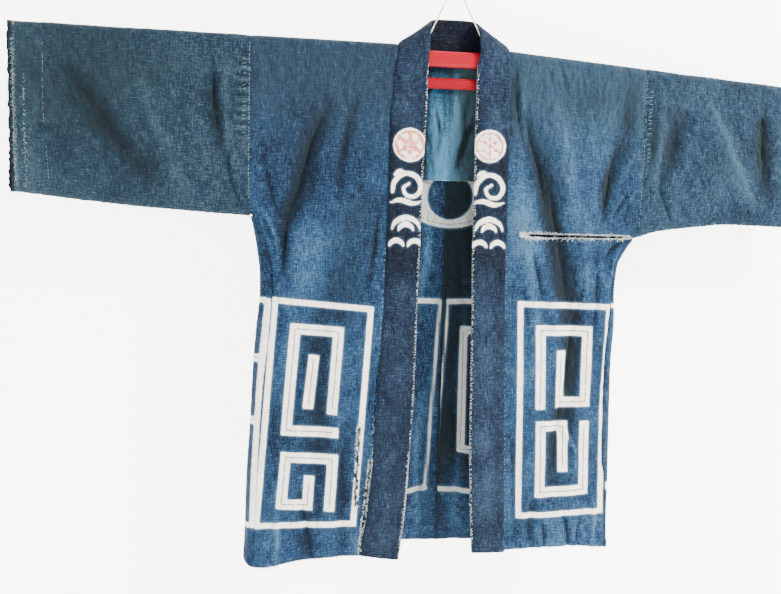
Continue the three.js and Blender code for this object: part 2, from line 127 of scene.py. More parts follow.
def smooth_path(points, per_leg=6):
    """A given path rounded through its points."""
    p = np.array(points, float)
    if len(p) < 3:
        return p
    p = np.vstack([2 * p[0] - p[1], p, 2 * p[-1] - p[-2]])
    out = []
    for k in range(1, len(p) - 2):
        for t in np.arange(per_leg) / per_leg:
            a, b, c, d = p[k - 1:k + 3]
            out.append(0.5 * (2 * b + (c - a) * t + (2 * a - 5 * b + 4 * c - d) * t**2
                              + (3 * b - a - 3 * c + d) * t**3))
    out.append(p[-2])
    return np.array(out)


def run_length(way):
    """Length run at each point of a path."""
    return np.concatenate([[0], np.cumsum(np.hypot(*np.diff(way, axis=0).T))])


def blob(x, drop, cx, cz, wide, tall):
    """A soft round patch, 1 in its middle."""
    return np.exp(-((x - cx) / wide) ** 2 - ((drop - cz) / tall) ** 2)


def from_path(path, x, drop):
    """Signed distance of each point from a path, and its place along it from 0 to 1."""
    path = smooth_path(path)
    best = np.full(np.shape(x), 1e9)
    side, place = np.ones(np.shape(x)), np.zeros(np.shape(x))
    reach = run_length(path)
    for k in range(len(path) - 1):
        (ax, az), (bx, bz) = path[k], path[k + 1]
        dx, dz = bx - ax, bz - az
        t = np.clip(((x - ax) * dx + (drop - az) * dz) / (dx * dx + dz * dz), 0, 1)
        px, pz = x - ax - t * dx, drop - az - t * dz
        gap = np.hypot(px, pz)
        nearer = gap < best
        best = np.where(nearer, gap, best)
        side = np.where(nearer, np.sign(dz * px - dx * pz), side)
        place = np.where(nearer, (reach[k] + t * (reach[k + 1] - reach[k])) / reach[-1], place)
    return best * np.where(side == 0, 1, side), place


def ripple(x, drop, size, seed, stretch=1.0):
    """Even, rounded unevenness of about `size` mm, between -1 and 1; `stretch` lengthens it along drop."""
    rng = np.random.default_rng(seed)
    total = np.zeros(np.shape(x))
    for _ in range(14):
        turn, phase = rng.uniform(0, 2 * math.pi, 2)
        wave = size * rng.uniform(0.7, 1.5)
        total += np.cos(2 * math.pi * (x * math.cos(turn) + drop / stretch * math.sin(turn)) / wave + phase)
    return total / 5.5


# ---- folds -----------------------------------------------------------------------------------
# Each wall's folds: path of (x, drop), rise in mm (a valley is negative), width on the path's two sides,
# and 2 for a sharp crest or 1 for a round one. The main folds are in the solid cloth as well.
MAIN_FOLDS = {
    "left_front": [
        ([(118, 110), (150, 234), (184, 352), (200, 429), (198, 526), (181, 623), (172, 690)], -8, 30, 34, 1),
        ([(268, 120), (253, 190), (246, 240)], -4.5, 24, 24, 1),
    ],
    "right_front": [
        ([(-186, 90), (-215, 148), (-233, 222), (-256, 290), (-254, 350)], -5, 26, 26, 1),
        ([(-170, 330), (-196, 470), (-200, 640), (-206, 790)], -4.5, 40, 40, 1),
    ],
    "left_back": [
        ([(120, 210), (150, 380), (165, 560), (160, 700)], -6, 45, 45, 1),
    ],
    "right_back": [
        ([(-130, 230), (-165, 400), (-170, 580), (-180, 720)], -6, 45, 45, 1),
    ],
    "left_sleeve_front": [
        ([(378, 70), (357, 127), (339, 205)], -5, 26, 26, 1),
        ([(400, 60), (420, 90), (451, 160), (483, 215), (505, 250)], 5, 24, 24, 1),
        ([(499, 70), (504, 120), (512, 175), (520, 215)], -4.5, 22, 22, 1),
    ],
    "left_sleeve_back": [
        ([(400, 80), (440, 150), (480, 220)], -4, 34, 34, 1),
    ],
    "right_sleeve_front": [
        ([(-566, 62), (-513, 136), (-450, 214)], -4.5, 34, 34, 1),
        ([(-362, 60), (-356, 132), (-340, 190)], -3.5, 22, 22, 1),
    ],
    "right_sleeve_back": [
        ([(-540, 80), (-490, 150), (-430, 210)], -4, 34, 34, 1),
    ],
}
CREASES = {
    "left_front": [
        ([(92, 10), (96, 50), (102, 100), (112, 150)], -2.6, 7, 9, 2),
        ([(100, 30), (108, 80), (116, 120)], 1.6, 7, 9, 2),
        ([(112, 96), (124, 140), (140, 190), (150, 240)], -2.6, 9, 13, 2),
        ([(128, 300), (140, 340), (150, 384)], -2.0, 7, 7, 2),
        ([(256, 300), (246, 326), (226, 350)], 2.0, 6, 8, 2),
        ([(214, 300), (222, 340), (218, 390)], 1.6, 8, 8, 2),
        ([(160, 735), (166, 760), (164, 786)], -2.2, 7, 7, 2),
        ([(226, 735), (222, 762), (226, 786)], -2.0, 7, 7, 2),
        ([(150, 190), (164, 250), (180, 320), (196, 400)], -2.4, 9, 15, 2),
        ([(216, 372), (202, 430), (196, 500), (186, 560), (176, 640)], -2.4, 13, 9, 2),
        ([(183, 566), (198, 598), (213, 625), (214, 664)], 2.4, 12, 8, 2),
        ([(108, 250), (126, 330), (140, 420), (144, 520)], 1.8, 16, 16, 1),
        ([(232, 300), (240, 340), (241, 380), (236, 440)], -2.2, 10, 10, 2),
        ([(286, 286), (262, 302), (244, 330)], -3.0, 9, 9, 2),
        ([(280, 292), (268, 320), (260, 356)], 2.2, 8, 8, 2),
        ([(262, 140), (256, 170), (250, 215), (243, 262)], -2.6, 8, 12, 2),
        ([(292, 205), (278, 225), (262, 250)], -2.0, 9, 9, 2),
        ([(296, 150), (282, 165), (266, 196)], 1.6, 9, 9, 2),
        ([(196, 720), (206, 756), (208, 786)], -3.0, 12, 9, 2),
        ([(146, 700), (142, 745), (146, 786)], -2.2, 12, 12, 1),
        ([(246, 690), (250, 740), (248, 786)], 2.4, 12, 10, 2),
        ([(110, 600), (118, 680), (120, 780)], -1.6, 14, 14, 1),
        ([(150, 60), (172, 120), (186, 200), (205, 262)], 1.8, 20, 20, 1),
    ],
    "right_front": [
        ([(-188, 92), (-210, 140), (-223, 186), (-233, 222), (-256, 272)], -2.8, 14, 8, 2),
        ([(-248, 262), (-253, 300), (-256, 350)], -2.8, 8, 10, 2),
        ([(-146, 80), (-158, 120), (-167, 168), (-170, 230)], -2.0, 15, 12, 1),
        ([(-104, 230), (-112, 268), (-118, 320), (-126, 370)], -2.2, 10, 8, 2),
        ([(-292, 150), (-282, 190), (-270, 240), (-262, 262)], -1.8, 9, 9, 2),
        ([(-298, 246), (-280, 262), (-268, 292), (-262, 330)], 2.4, 8, 9, 2),
        ([(-284, 300), (-274, 330), (-270, 372)], -1.8, 7, 7, 2),
        ([(-150, 560), (-160, 650), (-158, 780)], -2.0, 18, 16, 1),
        ([(-226, 690), (-214, 740), (-206, 788)], -2.4, 11, 13, 2),
        ([(-262, 720), (-258, 760), (-262, 800)], 2.4, 12, 10, 2),
        ([(-186, 400), (-178, 460), (-182, 540)], 1.4, 20, 20, 1),
        ([(-240, 380), (-246, 450), (-250, 540)], 1.4, 16, 16, 1),
    ],
    "left_back": [
        ([(26, 330), (30, 420), (24, 520), (30, 640), (26, 780)], 3.4, 10, 16, 1),
        ([(10, 290), (14, 330), (12, 380)], -2.2, 8, 10, 1),
        ([(230, 60), (214, 140), (222, 240), (250, 300)], -2.4, 14, 18, 1),
        ([(90, 60), (104, 150), (112, 280)], 2.0, 20, 20, 1),
        ([(240, 640), (228, 720), (236, 786)], 2.6, 14, 12, 2),
    ],
    "right_back": [
        ([(-30, 240), (-26, 300), (-34, 380)], 2.6, 12, 12, 1),
        ([(-20, 520), (-34, 620), (-30, 780)], 2.8, 14, 12, 1),
        ([(-238, 70), (-220, 150), (-228, 250), (-252, 320)], -2.4, 14, 18, 1),
        ([(-96, 60), (-108, 160), (-118, 300)], 2.0, 20, 20, 1),
        ([(-226, 650), (-236, 730), (-228, 786)], 2.6, 14, 12, 2),
    ],
    "left_sleeve_front": [
        ([(392, 40), (404, 62), (421, 92), (438, 130)], 1.8, 6, 12, 2),
        ([(438, 130), (452, 160), (476, 200), (496, 236)], 1.8, 7, 13, 2),
        ([(497, 44), (502, 90), (505, 140), (511, 190)], -2.6, 7, 9, 2),
        ([(330, 60), (334, 110), (328, 170), (330, 230)], 1.8, 12, 10, 1),
        ([(337, 205), (350, 232), (362, 256)], -2.4, 8, 8, 2),
        ([(372, 226), (382, 242), (396, 254)], -1.8, 7, 7, 2),
        ([(540, 60), (560, 130), (556, 220)], 2.2, 18, 18, 1),
        ([(600, 60), (590, 130), (604, 210)], -2.2, 16, 14, 1),
        ([(440, 206), (480, 212), (560, 212)], 0.8, 5, 5, 2),
    ],
    "left_sleeve_back": [
        ([(360, 50), (368, 130), (350, 230)], -2.2, 14, 10, 2),
        ([(520, 60), (540, 140), (580, 220)], 2.0, 14, 14, 1),
    ],
    "right_sleeve_front": [
        ([(-361, 12), (-360, 60), (-357, 110), (-351, 140)], -2.8, 6, 8, 2),
        ([(-342, 40), (-344, 90), (-338, 150), (-330, 200)], 1.6, 9, 9, 1),
        ([(-334, 150), (-336, 190), (-326, 232), (-312, 252)], -2.4, 8, 8, 2),
        ([(-574, 50), (-540, 100), (-505, 150), (-460, 206)], -1.6, 9, 15, 2),
        ([(-470, 60), (-448, 120), (-420, 180), (-400, 236)], 1.6, 18, 18, 1),
        ([(-400, 50), (-404, 110), (-396, 170)], -1.2, 12, 12, 1),
        ([(-600, 12), (-596, 70), (-593, 118), (-588, 180), (-585, 228)], 1.0, 3, 5, 2),
        ([(-612, 14), (-608, 80), (-606, 150), (-604, 228)], -0.7, 3, 3, 2),
        ([(-627, 10), (-622, 80), (-618, 150), (-617, 228)], 0.8, 3, 4, 2),
    ],
    "right_sleeve_back": [
        ([(-360, 50), (-366, 130), (-350, 220)], -2.2, 14, 10, 2),
        ([(-600, 14), (-596, 120), (-590, 228)], 0.9, 4, 5, 2),
    ],
}


def folds(table, wall, x, drop):
    total = np.zeros(np.shape(x))
    for path, rise, low_side, high_side, sharp in table.get(wall, ()):
        gap, place = from_path(path, x, drop)
        width = np.where(gap < 0, low_side, high_side)
        near = np.clip(np.abs(gap) / width, 0, 1)
        across = (1 - near) ** 2.2 if sharp == 2 else 1 - near * near * (3 - 2 * near)
        total += rise * across * (0.2 + 0.8 * np.sin(math.pi * (0.06 + 0.88 * place)))
    return total


# ---- form of the coat ------------------------------------------------------------------------
def top_z(o, x):
    return o["slope"] * np.maximum(0, np.abs(x) - o["slope_from"])


def body_depth(front, x, outer, drop):
    """Distance of a wall from the hanger plane."""
    middle = along(FRONT_MID if front else BACK_MID, drop)
    edge = along(FRONT_EDGE if front else BACK_EDGE, drop)
    return mix(middle, edge, ease(0, 1, (x - 150) / (outer - 150)))


def side_edge(o, z):
    return np.where(z > o["arm"], SEAM_X, along(o["seam"], -z))


def tear_gap(x):
    ragged = 0.5 * np.sin(x / 3.1) + 0.4 * np.sin(x / 1.7 + 1.3)
    opened = ease(108, 132, x) * (1 - 0.55 * ease(140, 200, x)) * (1 - ease(272, 294, x))
    return 1.2 + (7.4 + ragged) * opened


def wall_relief(side, back, x, drop, outer):
    """Everything that lifts or sinks a wall from its plain form, in mm outward."""
    wall = f"{side}_{'back' if back else 'front'}"
    below_bar = ease(62, 90, drop)
    main = folds(MAIN_FOLDS, wall, x, drop) * below_bar * (1 - ease(outer - 26, outer, np.abs(x)))
    small = folds(CREASES, wall, x, drop) * ease(20, 80, drop)
    hang = 1.2 * ripple(x, drop, 90, 11 + back, 2.4) + 0.6 * ripple(x, drop, 34, 5 + back, 1.8)
    hang += 0.3 * ripple(x, drop, 17, 8 + back, 1.3)
    return main + 1.9 * small + hang * mix(0.35, 1.0, below_bar)


def seam_dip(gap, drop, seed, depth=0.9, pucker=0.6):
    """A seam pulls its cloth in, with small gathers beside it."""
    beat = np.sin(drop / 1.9 + 2.2 * ripple(drop, drop * 0, 40, seed))
    near = np.abs(gap)
    return -depth * np.exp(-(near / 1.6) ** 2) + pucker * beat * np.exp(-near / 9) * (1 - np.exp(-near / 1.4))


def normals(p, ring):
    """Outward-or-inward unit normals of a grid of points, rows by columns."""
    if ring:
        across = np.roll(p, -1, 1) - np.roll(p, 1, 1)
    else:
        across = np.gradient(p, axis=1)
    n = np.cross(np.gradient(p, axis=0), across)
    return n / np.maximum(np.linalg.norm(n, axis=2, keepdims=True), 1e-9)


# ---- cloth as a closed thin shell --------------------------------------------------------------
def shell(name, mid, uv, thickness, values, flip=False, ring=False, cut=None):
    """Builds cloth from a grid of middle points (mm). `values` are numbers kept on the surface for its
    dye, wear and painted shading; `cut` marks cells that are torn away. Each edge of the cloth gets its own
    rim."""
    rows, cols = mid.shape[:2]
    out = normals(mid, ring) * (-1 if flip else 1)
    half = np.broadcast_to(thickness, (rows, cols))[..., None] / 2
    remember(name, mid, out, half)
    faces = np.stack([mid + out * half, mid - out * half], 2)
    wrong_side = (np.abs(faces[..., 1]) < np.abs(faces[:, :, ::-1, 1])).ravel()
    points = faces.reshape(-1, 3)
    points[:, 2] += SHOULDER_Z
    across = cols if ring else cols - 1
    there = np.ones((rows - 1, across), bool)
    if cut is not None:
        there &= ~cut
    i, j = np.nonzero(there)

    def corner(di, dj, side):
        return 2 * ((i + di) * cols + (j + dj) % cols) + side

    def place(di, dj):
        return (i + di) * (across + 1) + (j + dj)

    quads = [np.stack([corner(0, 0, 0), corner(1, 0, 0), corner(1, 1, 0), corner(0, 1, 0)], 1),
             np.stack([corner(0, 0, 1), corner(0, 1, 1), corner(1, 1, 1), corner(1, 0, 1)], 1)]
    places = [np.stack([place(0, 0), place(1, 0), place(1, 1), place(0, 1)], 1),
              np.stack([place(0, 0), place(0, 1), place(1, 1), place(1, 0)], 1)]
    padded = np.pad(there, 1)
    if ring:
        padded[1:-1, 0], padded[1:-1, -1] = there[:, -1], there[:, 0]
    rims = {(0, -1): ((0, 0), (1, 0)), (0, 1): ((1, 1), (0, 1)),
            (-1, 0): ((0, 1), (0, 0)), (1, 0): ((1, 0), (1, 1))}
    for (ni, nj), (a, b) in rims.items():
        if ring and nj:
            continue
        edge = ~padded[i + 1 + ni, j + 1 + nj]
        quads.append(np.stack([corner(*b, 0), corner(*a, 0), corner(*a, 1), corner(*b, 1)], 1)[edge])
        places.append(np.stack([place(*b), place(*a), place(*a), place(*b)], 1)[edge])
    quads, places = np.vstack(quads), np.vstack(places)
    if flip:
        quads, places = quads[:, ::-1], places[:, ::-1]
    used, compact = np.unique(quads, return_inverse=True)
    mesh = bpy.data.meshes.new(name)
    mesh.from_pydata((points[used] * MM).tolist(), [], compact.reshape(quads.shape).tolist())
    layer = mesh.uv_layers.new(name="cloth")
    layer.data.foreach_set("uv", (uv.reshape(-1, 2)[places.ravel()] * MM).ravel())
    kept = {key: np.repeat(np.broadcast_to(value, (rows, cols)).ravel(), 2) for key, value in values.items()}
    kept["reverse"] = wrong_side
    for key, value in kept.items():
        mesh.attributes.new(key, "FLOAT", "POINT").data.foreach_set("value", value[used].astype(np.float32))
    piece = bpy.data.objects.new(name, mesh)
    bpy.context.scene.collection.objects.link(piece)
    smooth(piece, 50)
    return piece


SURFACES = {}


def remember(name, mid, out, half):
    """Keeps the front face of a cloth, so that threads can be laid on it."""
    facing = out * np.where(out[..., 1:2] > 0, -1, 1)
    front = (mid[..., 1] < 0) & (facing[..., 1] < -0.3)
    points, facing = (mid + facing * half)[front], facing[front]
    tree = KDTree(len(points))
    for k, (x, _, z) in enumerate(points.tolist()):
        tree.insert((x, 0, z), k)
    tree.balance()
    SURFACES[name] = (points, facing, tree)


def on_cloth(name, x, drop):
    """The point of a cloth's front face at x and drop, and the way it faces."""
    points, facing, tree = SURFACES[name]
    k = tree.find((x, 0, -drop))[1]
    p, n = points[k], facing[k]
    y = p[1] - (n[0] * (x - p[0]) + n[2] * (-drop - p[2])) / n[1]
    return np.array([x, np.clip(y, p[1] - 4, p[1] + 4), -drop]), n


def smooth(piece, degrees):
    bpy.ops.object.select_all(action="DESELECT")
    piece.select_set(True)
    bpy.context.view_layer.objects.active = piece
    bpy.ops.object.shade_smooth_by_angle(angle=math.radians(degrees))
    piece.select_set(False)


# ---- resist-dyed marks: distance in mm to the edge of a mark, negative inside it ----------------
def bar_field(bars, x, drop):
    """Bars are (start, end, width, lined). Returns the field and the distance to the dark middle line."""
    edge, line = np.full(np.shape(x), FAR), np.full(np.shape(x), FAR)
    for (ax, az), (bx, bz), width, lined in bars:
        length = math.hypot(bx - ax, bz - az)
        ux, uz = (bx - ax) / length, (bz - az) / length
        run = (x - ax) * ux + (drop - az) * uz
        side = (x - ax) * -uz + (drop - az) * ux
        dx, dy = np.abs(run - length / 2) - length / 2, np.abs(side) - width / 2
        box = np.hypot(np.maximum(dx, 0), np.maximum(dy, 0)) + np.minimum(np.maximum(dx, dy), 0)
        edge = np.minimum(edge, box)
        if lined:
            inside = (box < 0) & (run > 7) & (run < length - 7)
            line = np.where(inside & (np.abs(side) < np.abs(line)), side, line)
    return edge, line


def path_bars(points, width, lined=True):
    """One bar for each leg of a bent path, run on by half its width so the corners close."""
    bars = []
    for a, b in zip(points, points[1:]):
        length = math.hypot(b[0] - a[0], b[1] - a[1])
        ux, uz = (b[0] - a[0]) / length * width / 2, (b[1] - a[1]) / length * width / 2
        bars.append(((a[0] - ux, a[1] - uz), (b[0] + ux, b[1] + uz), width, lined))
    return bars


def stroke_field(strokes, x, drop):
    """Brush strokes: each is a list of (x, drop, radius), swelling and thinning along its way."""
    edge = np.full(np.shape(x), FAR)
    for stroke in strokes:
        pts = smooth_path(stroke, 5)
        for (ax, az, ar), (bx, bz, br) in zip(pts, pts[1:]):
            dx, dz = bx - ax, bz - az
            t = np.clip(((x - ax) * dx + (drop - az) * dz) / max(dx * dx + dz * dz, 1e-6), 0, 1)
            edge = np.minimum(edge, np.hypot(x - ax - t * dx, drop - az - t * dz) - mix(ar, br, t))
    return edge


def disc_field(cx, cz, r, x, drop):
    return np.hypot(x - cx, drop - cz) - r


BAND = 9.0               # outer band of a front frame
BAR = 16.0               # bars inside it
BACK_BAND = 8            # the same on the back
BACK_BAR = 12


def right_front_marks():
    """Frame on the wearer's right front, holding a tall key fret over a small one."""
    outline = path_bars([(-265, 389), (-119.5, 400), (-140.5, 735), (-290, 741), (-265, 389)], BAND, False)
    tall = path_bars([(-176, 556), (-168, 436), (-234, 432), (-246, 590), (-174, 592)], BAR)
    tall += path_bars([(-206, 480), (-213, 548)], BAR)
    small = path_bars([(-178, 708), (-174, 634), (-246, 632), (-252, 706), (-212, 707), (-210, 668)], BAR)
    return outline + tall + small


def left_front_marks():
    """Frame on the wearer's left front, holding two key frets that turn opposite ways."""
    outline = path_bars([(115, 389), (262, 393), (257, 560), (261, 724), (123, 727), (115, 389)], BAND, False)
    upper = path_bars([(152, 548), (148, 430), (228, 432), (227, 545), (186, 546), (184, 470)], BAR)
    lower = path_bars([(228, 584), (230, 688), (156, 690), (154, 583), (193, 584), (194, 650)], BAR)
    return outline + upper + lower


def back_marks(sx):
    """Waist frames of the back, seen inside through the open front."""
    if sx > 0:
        top, low = [(8, 390), (268, 388)], [(-9, 697), (268, 726)]
        inner, thin = [(7, 390), (-9, 697)], 4.2
        fret = [(150, 640), (36, 632), (34, 436), (224, 440), (224, 584), (94, 576), (94, 500), (152, 502)]
    else:
        top, low = [(-9, 390), (-268, 388)], [(-21, 697), (-268, 741)]
        inner, thin = [(-6.5, 390), (-21, 697)], 5.4
        fret = [(-150, 640), (-66, 634), (-64, 436), (-230, 440), (-230, 584), (-120, 576), (-120, 500),
                (-172, 502)]
    bars = path_bars(top, BACK_BAND, False) + path_bars(inner, thin, False) + path_bars(low, BACK_BAND, False)
    return bars + path_bars(fret, BACK_BAR)


def side_marks(sx, from_seam, drop):
    """Where the back comes round the side: a band beside the seam, with bars running off it."""
    if sx > 0:
        bars = [((2, 684), (64, 686), 14, True), ((2, 391), (64, 390), BACK_BAND, False)]
        return bar_field(bars, from_seam, drop)
    bars = path_bars([(4.2, 390), (4.2, 741)], 6.4, False)
    for level, width, lined in ((389, BACK_BAND, False), (478, BACK_BAR, True), (575, BACK_BAR, True),
                                (741, BACK_BAND, False)):
        bars += path_bars([(8, level), (64, level + 2)], width, lined)
    return bar_field(bars, from_seam, drop)


def roundel(x, drop):
    """Large round mark on the back: a pale disc with four dark discs and one thin dark ring."""
    cx, cz, r = 4, 167, 107
    edge = disc_field(cx, cz, r, x, drop)
    for dx, dz in ((0, 58), (0, -58), (58, 0), (-58, 0)):
        edge = np.maximum(edge, -disc_field(cx + dx, cz + dz, 36, x, drop))
    edge = np.maximum(edge, -disc_field(cx, cz, 12, x, drop))
    return edge, disc_field(cx, cz, 101, x, drop)


CRESTS = {"right": (-65.5, 150, 25.5), "left": (57.5, 148, 25)}


def crest_star(cx, cz, r, x, drop):
    """Six-spoke star of a crest, its spokes braced near the middle, inside a ring."""
    star = np.abs(disc_field(cx, cz, r - 5, x, drop)) - 2.4
    for k in range(3):
        a = math.radians(30 + 60 * k)
        px, pz = math.cos(a) * (r - 6), math.sin(a) * (r - 6)
        bars = [((cx - px, cz - pz), (cx + px, cz + pz), 3.6, False)]
        for turn in (0, math.pi):
            tip = (cx + math.cos(a + turn) * (r - 8), cz + math.sin(a + turn) * (r - 8))
            for q in (0.52, -0.52):
                brace = (cx + math.cos(a + turn + q) * 8, cz + math.sin(a + turn + q) * 8)
                bars.append((tip, brace, 2.4, False))
        star = np.minimum(star, bar_field(bars, x, drop)[0])
    return star


# Brush strokes of the collar's two ornaments, from their middles, as (x, drop, radius of the brush).
SWIRL = [[(-22, 6, 2.5), (-19, -10, 3.6), (-4, -22, 3.4), (13, -18, 3.9), (21, -3, 3.6), (14, 11, 3.2),
          (0, 11, 2.8), (-6, 0, 2.6), (3, -7, 2.2)],
         [(-25, 22, 1.2), (-10, 18, 3.6), (8, 23, 3.4), (24, 19, 1)],
         [(-20, -20, 1.5), (-13, -25, 3.2), (-6, -27, 1)]]
WAVES = [[(cx + r * math.cos(math.radians(turn)), cz + r * math.sin(math.radians(turn)), brush)
          for turn, brush in ((190, 1.4), (225, 3.4), (270, 3.9), (315, 3.2), (350, 1.2))]
         for cx, cz, r in ((0, 0, 22), (0, 0, 11.5), (-14, 24, 11), (14, 24, 11))]
ORNAMENTS = ((-68.5, 215, SWIRL), (59, 214, SWIRL), (-69, 281, WAVES), (60, 281, WAVES))


def collar_marks(x, drop):
    """Round crests, and a cloud swirl over scallop waves, on each side of the collar."""
    white = np.full(np.shape(x), FAR)
    red = np.full(np.shape(x), FAR)
    for cx, cz, r in CRESTS.values():
        white = np.minimum(white, disc_field(cx, cz, r, x, drop))
        red = np.minimum(red, crest_star(cx, cz, r, x, drop) + (0.9 if cx > 0 else 0))
    for cx, cz, strokes in ORNAMENTS:
        placed = [[(cx + px, cz + pz, brush) for px, pz, brush in stroke] for stroke in strokes]
        white = np.minimum(white, stroke_field(placed, x, drop))
    return white, red


# ---- body strips -------------------------------------------------------------------------------
COLS = 76                # cells across a strip
FLAT_SHARE = 9 / 13      # share of them on the flat wall, the rest turning round the side
FLAT_WAY = 0.86          # how far across the wall that share takes them above the armhole


def body_rows():
    """Kind of each row (0 front, 1 over the shoulder, 2 back), its drop, and its turn over the fold."""
    front = np.concatenate([np.linspace(BODY_DROP, 264.6, 172), LIPS, np.linspace(259.6, FOLD_R, 84)])
    over = np.arange(165, 14, -15.0)
    back = np.concatenate([[12, 13.6, 17, 21], np.linspace(25, BODY_DROP, 168)])
    kind = np.concatenate([np.zeros(len(front)), np.ones(len(over)), np.full(len(back), 2)])
    angle = np.concatenate([np.full(len(front), 180.0), over, np.zeros(len(back))])
    drop = np.concatenate([front, FOLD_R * (1 - np.sin(np.radians(over))), back])
    return kind, drop, angle


def body_grid(side):
    """Where each point of a body strip lies across and down, before its depth and folds."""
    o, torn = OUTLINE[side], side == "left"
    kind, drop, angle = (np.repeat(v[:, None], COLS + 1, 1) for v in body_rows())
    c = np.broadcast_to(np.linspace(0, 1, COLS + 1), drop.shape)
    front, over = kind == 0, kind == 1
    back = (kind == 2) | (over & (angle < 90))
    flat = np.where(c <= FLAT_SHARE, c / FLAT_SHARE * FLAT_WAY,
                    FLAT_WAY + (1 - FLAT_WAY) * (c - FLAT_SHARE) / (1 - FLAT_SHARE))
    share = mix(c, flat, 1 - angle / 180)
    wraps = (kind == 2) & (drop > ARM_DROP)
    share = np.where(wraps, np.minimum(1, share / FLAT_WAY), share)
    above = drop <= ARM_DROP
    lip = torn * front * (np.abs(drop - ARM_DROP) < 1) * np.where(above, 1, -1)
    x = np.full(drop.shape, 200.0)
    for _ in range(5):
        tear = lip * (tear_gap(x) - (LIPS[0] - LIPS[1])) / 2
        hem = np.where(front, -along(o["hem"], x), -BODY_DROP)
        z = tear + np.where(above, mix(top_z(o, x), o["arm"], drop / ARM_DROP),
                            mix(o["arm"], hem, (drop - ARM_DROP) / (BODY_DROP - ARM_DROP)))
        tucked = along(o["collar_out"], -z) - 2.5 + 3.2 * ease(-40, 0, z)
        neck = np.where(back, np.maximum(0.02, (NECK_X + 1) * (1 - (drop / 13.5) ** 1.1)), tucked)
        inner = np.where((kind == 2) & (drop > 13), 0.02, neck)
        x = mix(inner, side_edge(o, z), share)
    outer = side_edge(o, z)
    return o, drop, angle, c, x, z, outer, back, over, wraps


def body_strip(side):
    o, drop, angle, c, x, z, outer, back, over, wraps = body_grid(side)
    sx, front = o["sx"], ~back
    level = np.maximum(drop, FOLD_R)
    half = np.where(back, body_depth(False, x, outer, level), body_depth(True, x, outer, level))
    y = np.where(back, 1, -1) * half * np.where(over, np.abs(np.cos(np.radians(angle))), 1)
    # round the side, below the armhole
    arc = wraps & (c > FLAT_SHARE)
    t = np.clip((c - FLAT_SHARE) / (1 - FLAT_SHARE), 0, 1)
    rx = np.maximum(5, along(o["side"], -z) - outer)
    yb, yf = body_depth(False, outer, outer, drop), -body_depth(True, outer, outer, drop)
    turn = math.pi / 2 - t * math.pi
    low = z - (along(o["hem"], outer) - BODY_DROP) * ease(600, BODY_DROP, drop) * ease(0.2, 1, t)
    px = np.where(arc, outer + rx * np.cos(turn), x)
    y = np.where(arc, (yb + yf) / 2 + (yb - yf) / 2 * np.sin(turn), y)
    z = np.where(arc, low, z)
    ry = (yb - yf) / 2
    developed = np.where(arc, outer + t * math.pi * np.sqrt((rx**2 + ry**2) / 2), x)
    mid = np.stack([sx * px, y, z], 2)
    out = normals(mid, False) * (1 if sx < 0 else -1)
    # folds, seams and the turned hem
    at = sx * np.where(back, developed, x)
    relief = np.where(back, wall_relief(side, True, at, -z, outer), wall_relief(side, False, at, -z, outer))
    relief *= np.where(over, 0.25, 1) * np.where(arc, 1 - 0.7 * np.sin(math.pi * t), 1)
    to_armhole = np.where(-z < -o["arm"] + 6, SEAM_X - x, 99)
    to_seam = np.where((-z > -o["arm"]) & ~arc, outer - x, np.where(arc, (1 - t) * 40, 99))
    to_seam = np.where(back & ~arc, 99, to_seam)
    relief += seam_dip(to_armhole, -z, 21 + sx) + seam_dip(to_seam, -z, 31 + sx, 0.8, 0.4)
    relief += np.where(back & (drop > 14), seam_dip(x, -z, 41, 0.8, 0.45), 0)
    relief += np.where(front, seam_dip(x - along(o["collar_out"], -z), -z, 51 + sx, 0.5, 0.45), 0)
    hem_drop = np.where(back & ~arc, BODY_DROP, along(o["hem"], np.where(arc, outer, x))) + z
    hem_step = 0.7 * (1 - ease(12, 15, hem_drop)) - 0.6 * np.exp(-((hem_drop - 13.5) / 1.2) ** 2)
    hem_step += 0.9 * ripple(at, at * 0, 46, 61 + sx) * (1 - ease(0, 60, hem_drop))
    relief += np.where(drop > 600, hem_step, 0)
    if side == "left":
        lip = np.abs(drop - ARM_DROP)
        curl = np.exp(-lip / 5) * ease(112, 130, x) * (1 - ease(276, 296, x))
        relief += np.where(front, curl * (1.4 + 0.9 * np.sin(x / 5.3) + 0.5 * np.sin(x / 2.1)), 0)
    bar_room = np.where((-z < 64) & front, -1.2, -40)
    mid = mid + out * np.maximum(relief, bar_room)[..., None]

    cut = None
    if side == "left":
        row = drop[:, 0].tolist().index(LIPS[0])
        cut = np.zeros((mid.shape[0] - 1, COLS), bool)
        cut[row] = (x[row, :-1] > 113) & (x[row, 1:] < 291)
    uv = np.stack([at, np.where(back, drop, -drop)], 2)
    values = body_values(side, at, -z, back, x, drop, to_armhole, hem_drop, arc, t, relief)
    return shell(f"{side}_body_cloth", mid, uv, CLOTH, values, flip=sx > 0, cut=cut)


# Faded places of each half, and stained places and painted fold shadows of both fronts, as (x, drop, width,
# height, how much).
FADED = {"right": [(-205, 330, 55, 70, 0.25), (-215, 215, 70, 75, -0.16), (-160, 520, 60, 150, 0.10)],
         "left": [(130, 260, 45, 110, 0.28), (200, 120, 90, 70, 0.14)]}
FRONT_STAINS_AND_SHADE = [(-160, 300, 26, 60, 0.55), (-140, 250, 22, 30, 0.4), (-152, 400, 20, 40, 0.4),
                (-256, 110, 16, 18, 0.35), (170, 200, 26, 60, 0.5), (214, 70, 40, 26, 0.35),
                (280, 110, 14, 66, 0.9), (96, 70, 8, 60, 0.8), (246, 210, 8, 34, 0.7), (190, 560, 12, 90, 0.6),
                (196, 470, 18, 90, 0.45), (40, 300, 60, 90, 0.3)]


